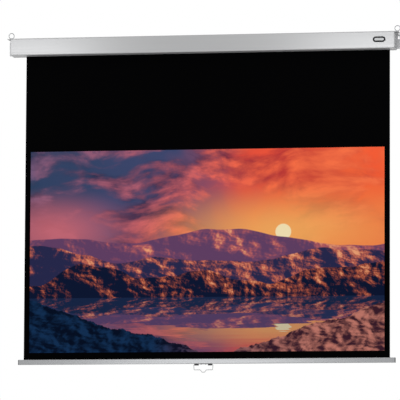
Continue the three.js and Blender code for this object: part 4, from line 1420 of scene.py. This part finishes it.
@dataclass
class BarAssembly:
    """The weight bar with its caps, and the pull handle under it."""

    y: float = -29.65
    x: float = 20.05
    top: float = -1554.5
    half_length: float = 939.0
    height: float = 25.0
    half_depth: float = 8.0
    flange: float = 2.5
    corner: float = 2.5
    face_round: float = 0.8
    leg_length: float = 14.0
    leg_overlap: float = 0.4
    leg_half_depth: float = 5.7
    leg_foot: float = 2.3
    leg_top: float = 12.8
    leg_round: float = 0.6
    strip_round: float = 0.25
    screw_length: float = 7.0
    screw_head: float = 2.0
    handle_x: float = 10.05
    pivot_z: float = -1584.0
    bail_half: float = 48.0
    pin_start: float = 29.4
    bail_taper: float = 2.0
    drop: float = 25.0
    dip: float = 12.0
    dip_half: float = 15.0
    dip_floor_half: float = 5.5
    bend: float = 3.0
    wire: float = 1.7

    def build(self) -> None:
        """Builds every piece of the bar and the handle."""
        Stock.from_frame("drawn_bar", "bar_profile").dressed(Body.BAR, BAR_SILVER, "bar_profile")
        for side in Side:
            self.mould_cap(side)
        strip = Stock.from_frame("handle_strip", "handle_bracket").soften(self.strip_round)
        strip.dressed(Body.BAR, BRACKET_BLACK, "handle_bracket")
        self.drive_screws()
        self.bend_bail()

    def drive_screws(self) -> None:
        """Drives two screws up through the handle's strip."""
        pattern = Screw(self.screw_length).model()
        for row in (1, 2):
            low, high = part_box(f"handle_screw_{row}")
            seat = Vector(((low.x + high.x) / 2, (low.y + high.y) / 2, low.z + self.screw_head * MM))
            screw = pattern.copied(f"strip_screw_{row}", seat, Matrix.Rotation(math.pi, 3, "X"))
            screw.dressed(Body.BAR, ZINC, f"handle_screw_{row}")
        pattern.scrap()

    def block(
        self, name: str, ends: tuple[float, float], half_depth: float, foot: float, top: float
    ) -> Stock:
        """A block about the bar's middle plane, between two ends along X."""
        left, right = sorted(ends)
        return Stock.box(name, point(left, self.y - half_depth, foot), point(right, self.y + half_depth, top))

    def mould_cap(self, side: Side) -> None:
        """Moulds an end cap: a rounded flange with a leg in the bar's tunnel.

        Args:
            side: The end of the bar.
        """
        outer = self.x + side.value * self.half_length
        inner = outer - side.value * self.flange
        foot = self.top - self.height
        cap = self.block(f"moulded_cap_{side.label}", (outer, inner), self.half_depth, foot, self.top)
        cap.bevel(running_along(X), self.corner, 6).bevel(lying_at(X, outer * MM), self.face_round)
        ends = (inner + side.value * self.leg_overlap, inner - side.value * self.leg_length)
        leg = self.block("leg", ends, self.leg_half_depth, foot + self.leg_foot, self.top - self.leg_top)
        cap.join(leg.bevel(running_along(X), self.leg_round, 2))
        cap.dressed(Body.BAR, CAP_BLACK, f"bar_cap_{side.label}")

    def bend_bail(self) -> None:
        """Bends the pull wire from one pin to the other, with its dip in the middle."""
        right = [
            (self.pin_start, 0.0), (self.bail_half, 0.0), (self.bail_half - self.bail_taper, -self.drop),
            (self.dip_half, -self.drop), (self.dip_floor_half, -self.drop - self.dip),
        ]
        corners = right + [(-x, z) for x, z in reversed(right)]
        start = point(self.handle_x + self.pin_start, self.y, self.pivot_z)
        bail = Stock.primitive("pull_wire", bpy.ops.mesh.primitive_plane_add, size=1 * MM, location=start)
        with bail.editing():
            bpy.ops.mesh.select_mode(type="VERT")
            bpy.ops.mesh.select_all(action="SELECT")
            bpy.ops.mesh.merge(type="CENTER")
            for before, after in zip(corners, corners[1:]):
                step = point(after[0] - before[0], 0, after[1] - before[1])
                bpy.ops.mesh.extrude_vertices_move(TRANSFORM_OT_translate={"value": tuple(step)})
            mesh = bmesh.from_edit_mesh(bail.obj.data)
            for vertex in mesh.verts:
                vertex.select_set(len(vertex.link_edges) == 2)
            bmesh.update_edit_mesh(bail.obj.data)
            bpy.ops.mesh.bevel(offset=self.bend * MM, segments=6, affect="VERTICES")
        bail.activate()
        bpy.ops.object.convert(target="CURVE")
        curve = bail.obj.data
        curve.bevel_depth = self.wire * MM
        curve.bevel_resolution = 4
        curve.use_fill_caps = True
        bpy.ops.object.convert(target="MESH")
        bail.dressed(Body.BAIL, BRIGHT_WIRE, "pull_bail", angle=60.0)


FRAME_FINISHES: dict[str, Finish] = {
    "spindle_socket": STEEL,
    "idler_block": STEEL,
    "idler_bush": WHITE_NYLON,
    "spindle": STEEL,
    "ratchet_wheel": STEEL,
    "spring_anchor": GREY_ACETAL,
    "lock_plug": GREY_ACETAL,
    "idler_plug": GREY_ACETAL,
    "idler_pin": STEEL,
    "pawl_pin_upper": ZINC,
    "pawl_pin_lower": ZINC,
    "pawl_upper": STEEL,
    "pawl_lower": STEEL,
    "hem_rod": ZINC,
}


def dress_frame() -> None:
    """Gives each frame node that is still shown its finish."""
    for name, finish in FRAME_FINISHES.items():
        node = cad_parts[name]
        node.data.materials.clear()
        node.data.materials.append(finish.material())
        log.info("%s: frame node with finish %s", name, finish.name)


@dataclass(frozen=True)
class Softbox:
    """A large soft lamp that the camera doesn't see."""

    name: str
    place: Triple
    aim: Triple
    size: tuple[float, float]
    watts: float

    def hang(self) -> None:
        """Hangs the lamp and turns it to its aim."""
        lamp = bpy.data.lights.new(self.name, "AREA")
        lamp.shape = "RECTANGLE"
        lamp.size, lamp.size_y = self.size
        lamp.energy = self.watts
        holder = stand(self.name, lamp)
        holder.location = self.place
        holder.rotation_euler = (Vector(self.aim) - Vector(self.place)).to_track_quat("-Z", "Y").to_euler()
        holder.visible_camera = False


@dataclass
class Studio:
    """A pale floor, a white background, soft lamps and the camera."""

    floor_height: float = -2.6
    floor_radius: float = 2.4
    floor_colour: Triple = (0.8, 0.8, 0.8)
    floor_dim: Triple = (0.788, 0.788, 0.788)
    floor_glow: float = 0.33
    ambient: float = 0.66
    azimuth: float = 10.0
    elevation: float = -6.0
    roll: float = 0.29
    distance: float = 20.0
    frame_width: float = 1.974
    sensor_width: float = 36.0
    aim: Triple = (-0.016, 0.0, -0.768)
    lamps: tuple[Softbox, ...] = (
        Softbox("left_softbox", (-1.0, -0.85, 0.0), (-0.97, 0.0, 0.0), (0.6, 0.08), 2.3),
        Softbox("right_softbox", (0.85, -0.85, 0.0), (0.82, 0.0, 0.0), (0.8, 0.08), 2.7),
        Softbox("low_softbox", (-0.25, -1.7, -1.6), (0.0, 0.0, -1.2), (1.0, 0.7), 5.4),
        Softbox("back_softbox", (0.0, 2.6, 0.4), (0.0, 0.0, -0.6), (2.2, 1.4), 18.0),
    )

    def build(self) -> None:
        """Sets the studio up."""
        bpy.context.scene.view_settings.view_transform = "Standard"
        self.lay_floor()
        self.light_background()
        for lamp in self.lamps:
            lamp.hang()
        self.stand_camera()

    def lay_floor(self) -> None:
        """Lays a plain pale floor."""
        deselect()
        bpy.ops.mesh.primitive_circle_add(
            vertices=128, radius=self.floor_radius, fill_type="NGON", location=(0, 0, self.floor_height)
        )
        floor = bpy.context.active_object
        floor.name = "studio_floor"
        paint = bpy.data.materials.new("studio_floor")
        graph = Graph(paint)
        graph.surface(
            Base_Color=graph.place().noise(3.0).mix(self.floor_dim, self.floor_colour),
            Roughness=0.9,
            Specular_IOR_Level=0.1,
            Emission_Color=(1.0, 1.0, 1.0, 1.0),
            Emission_Strength=graph.seen() * self.floor_glow,
        )
        floor.data.materials.append(paint)

    def light_background(self) -> None:
        """Makes the world white to the eye and in reflections, and softer as a light."""
        world = bpy.data.worlds.new("studio")
        graph = Graph(world)
        strength = {"Value": graph.seen(), "To Min": self.ambient, "To Max": 1.0}
        white = {"Color": (1.0, 1.0, 1.0, 1.0), "Strength": graph.signal("ShaderNodeMapRange", strength)}
        graph.add("ShaderNodeOutputWorld", {0: graph.signal("ShaderNodeBackground", white)})
        bpy.context.scene.world = world

    def stand_camera(self) -> None:
        """Stands the camera at the photograph's viewing angle, with a long lens."""
        turn, rise, roll = (math.radians(a) for a in (self.azimuth, self.elevation, self.roll))
        back = Vector((math.sin(turn) * math.cos(rise), -math.cos(turn) * math.cos(rise), math.sin(rise)))
        lens = bpy.data.cameras.new("camera")
        lens.sensor_width = self.sensor_width
        lens.lens = self.sensor_width * self.distance / self.frame_width
        lens.clip_start, lens.clip_end = 0.5, 200.0
        camera = stand("camera", lens)
        camera.location = Vector(self.aim) + back * self.distance
        level = (-back).to_track_quat("-Z", "Y").to_matrix()
        camera.rotation_euler = (level @ Matrix.Rotation(roll, 3, "Z")).to_euler()
        bpy.context.scene.camera = camera


def main() -> None:
    """Builds the screen and its studio in order."""
    logging.basicConfig(level=logging.INFO, format="%(name)s %(message)s")
    Studio().build()
    CaseAssembly().build()
    RollerAssembly().build()
    BarAssembly().build()
    ScreenCloth().build()
    dress_frame()


if __name__ == "__main__":
    main()
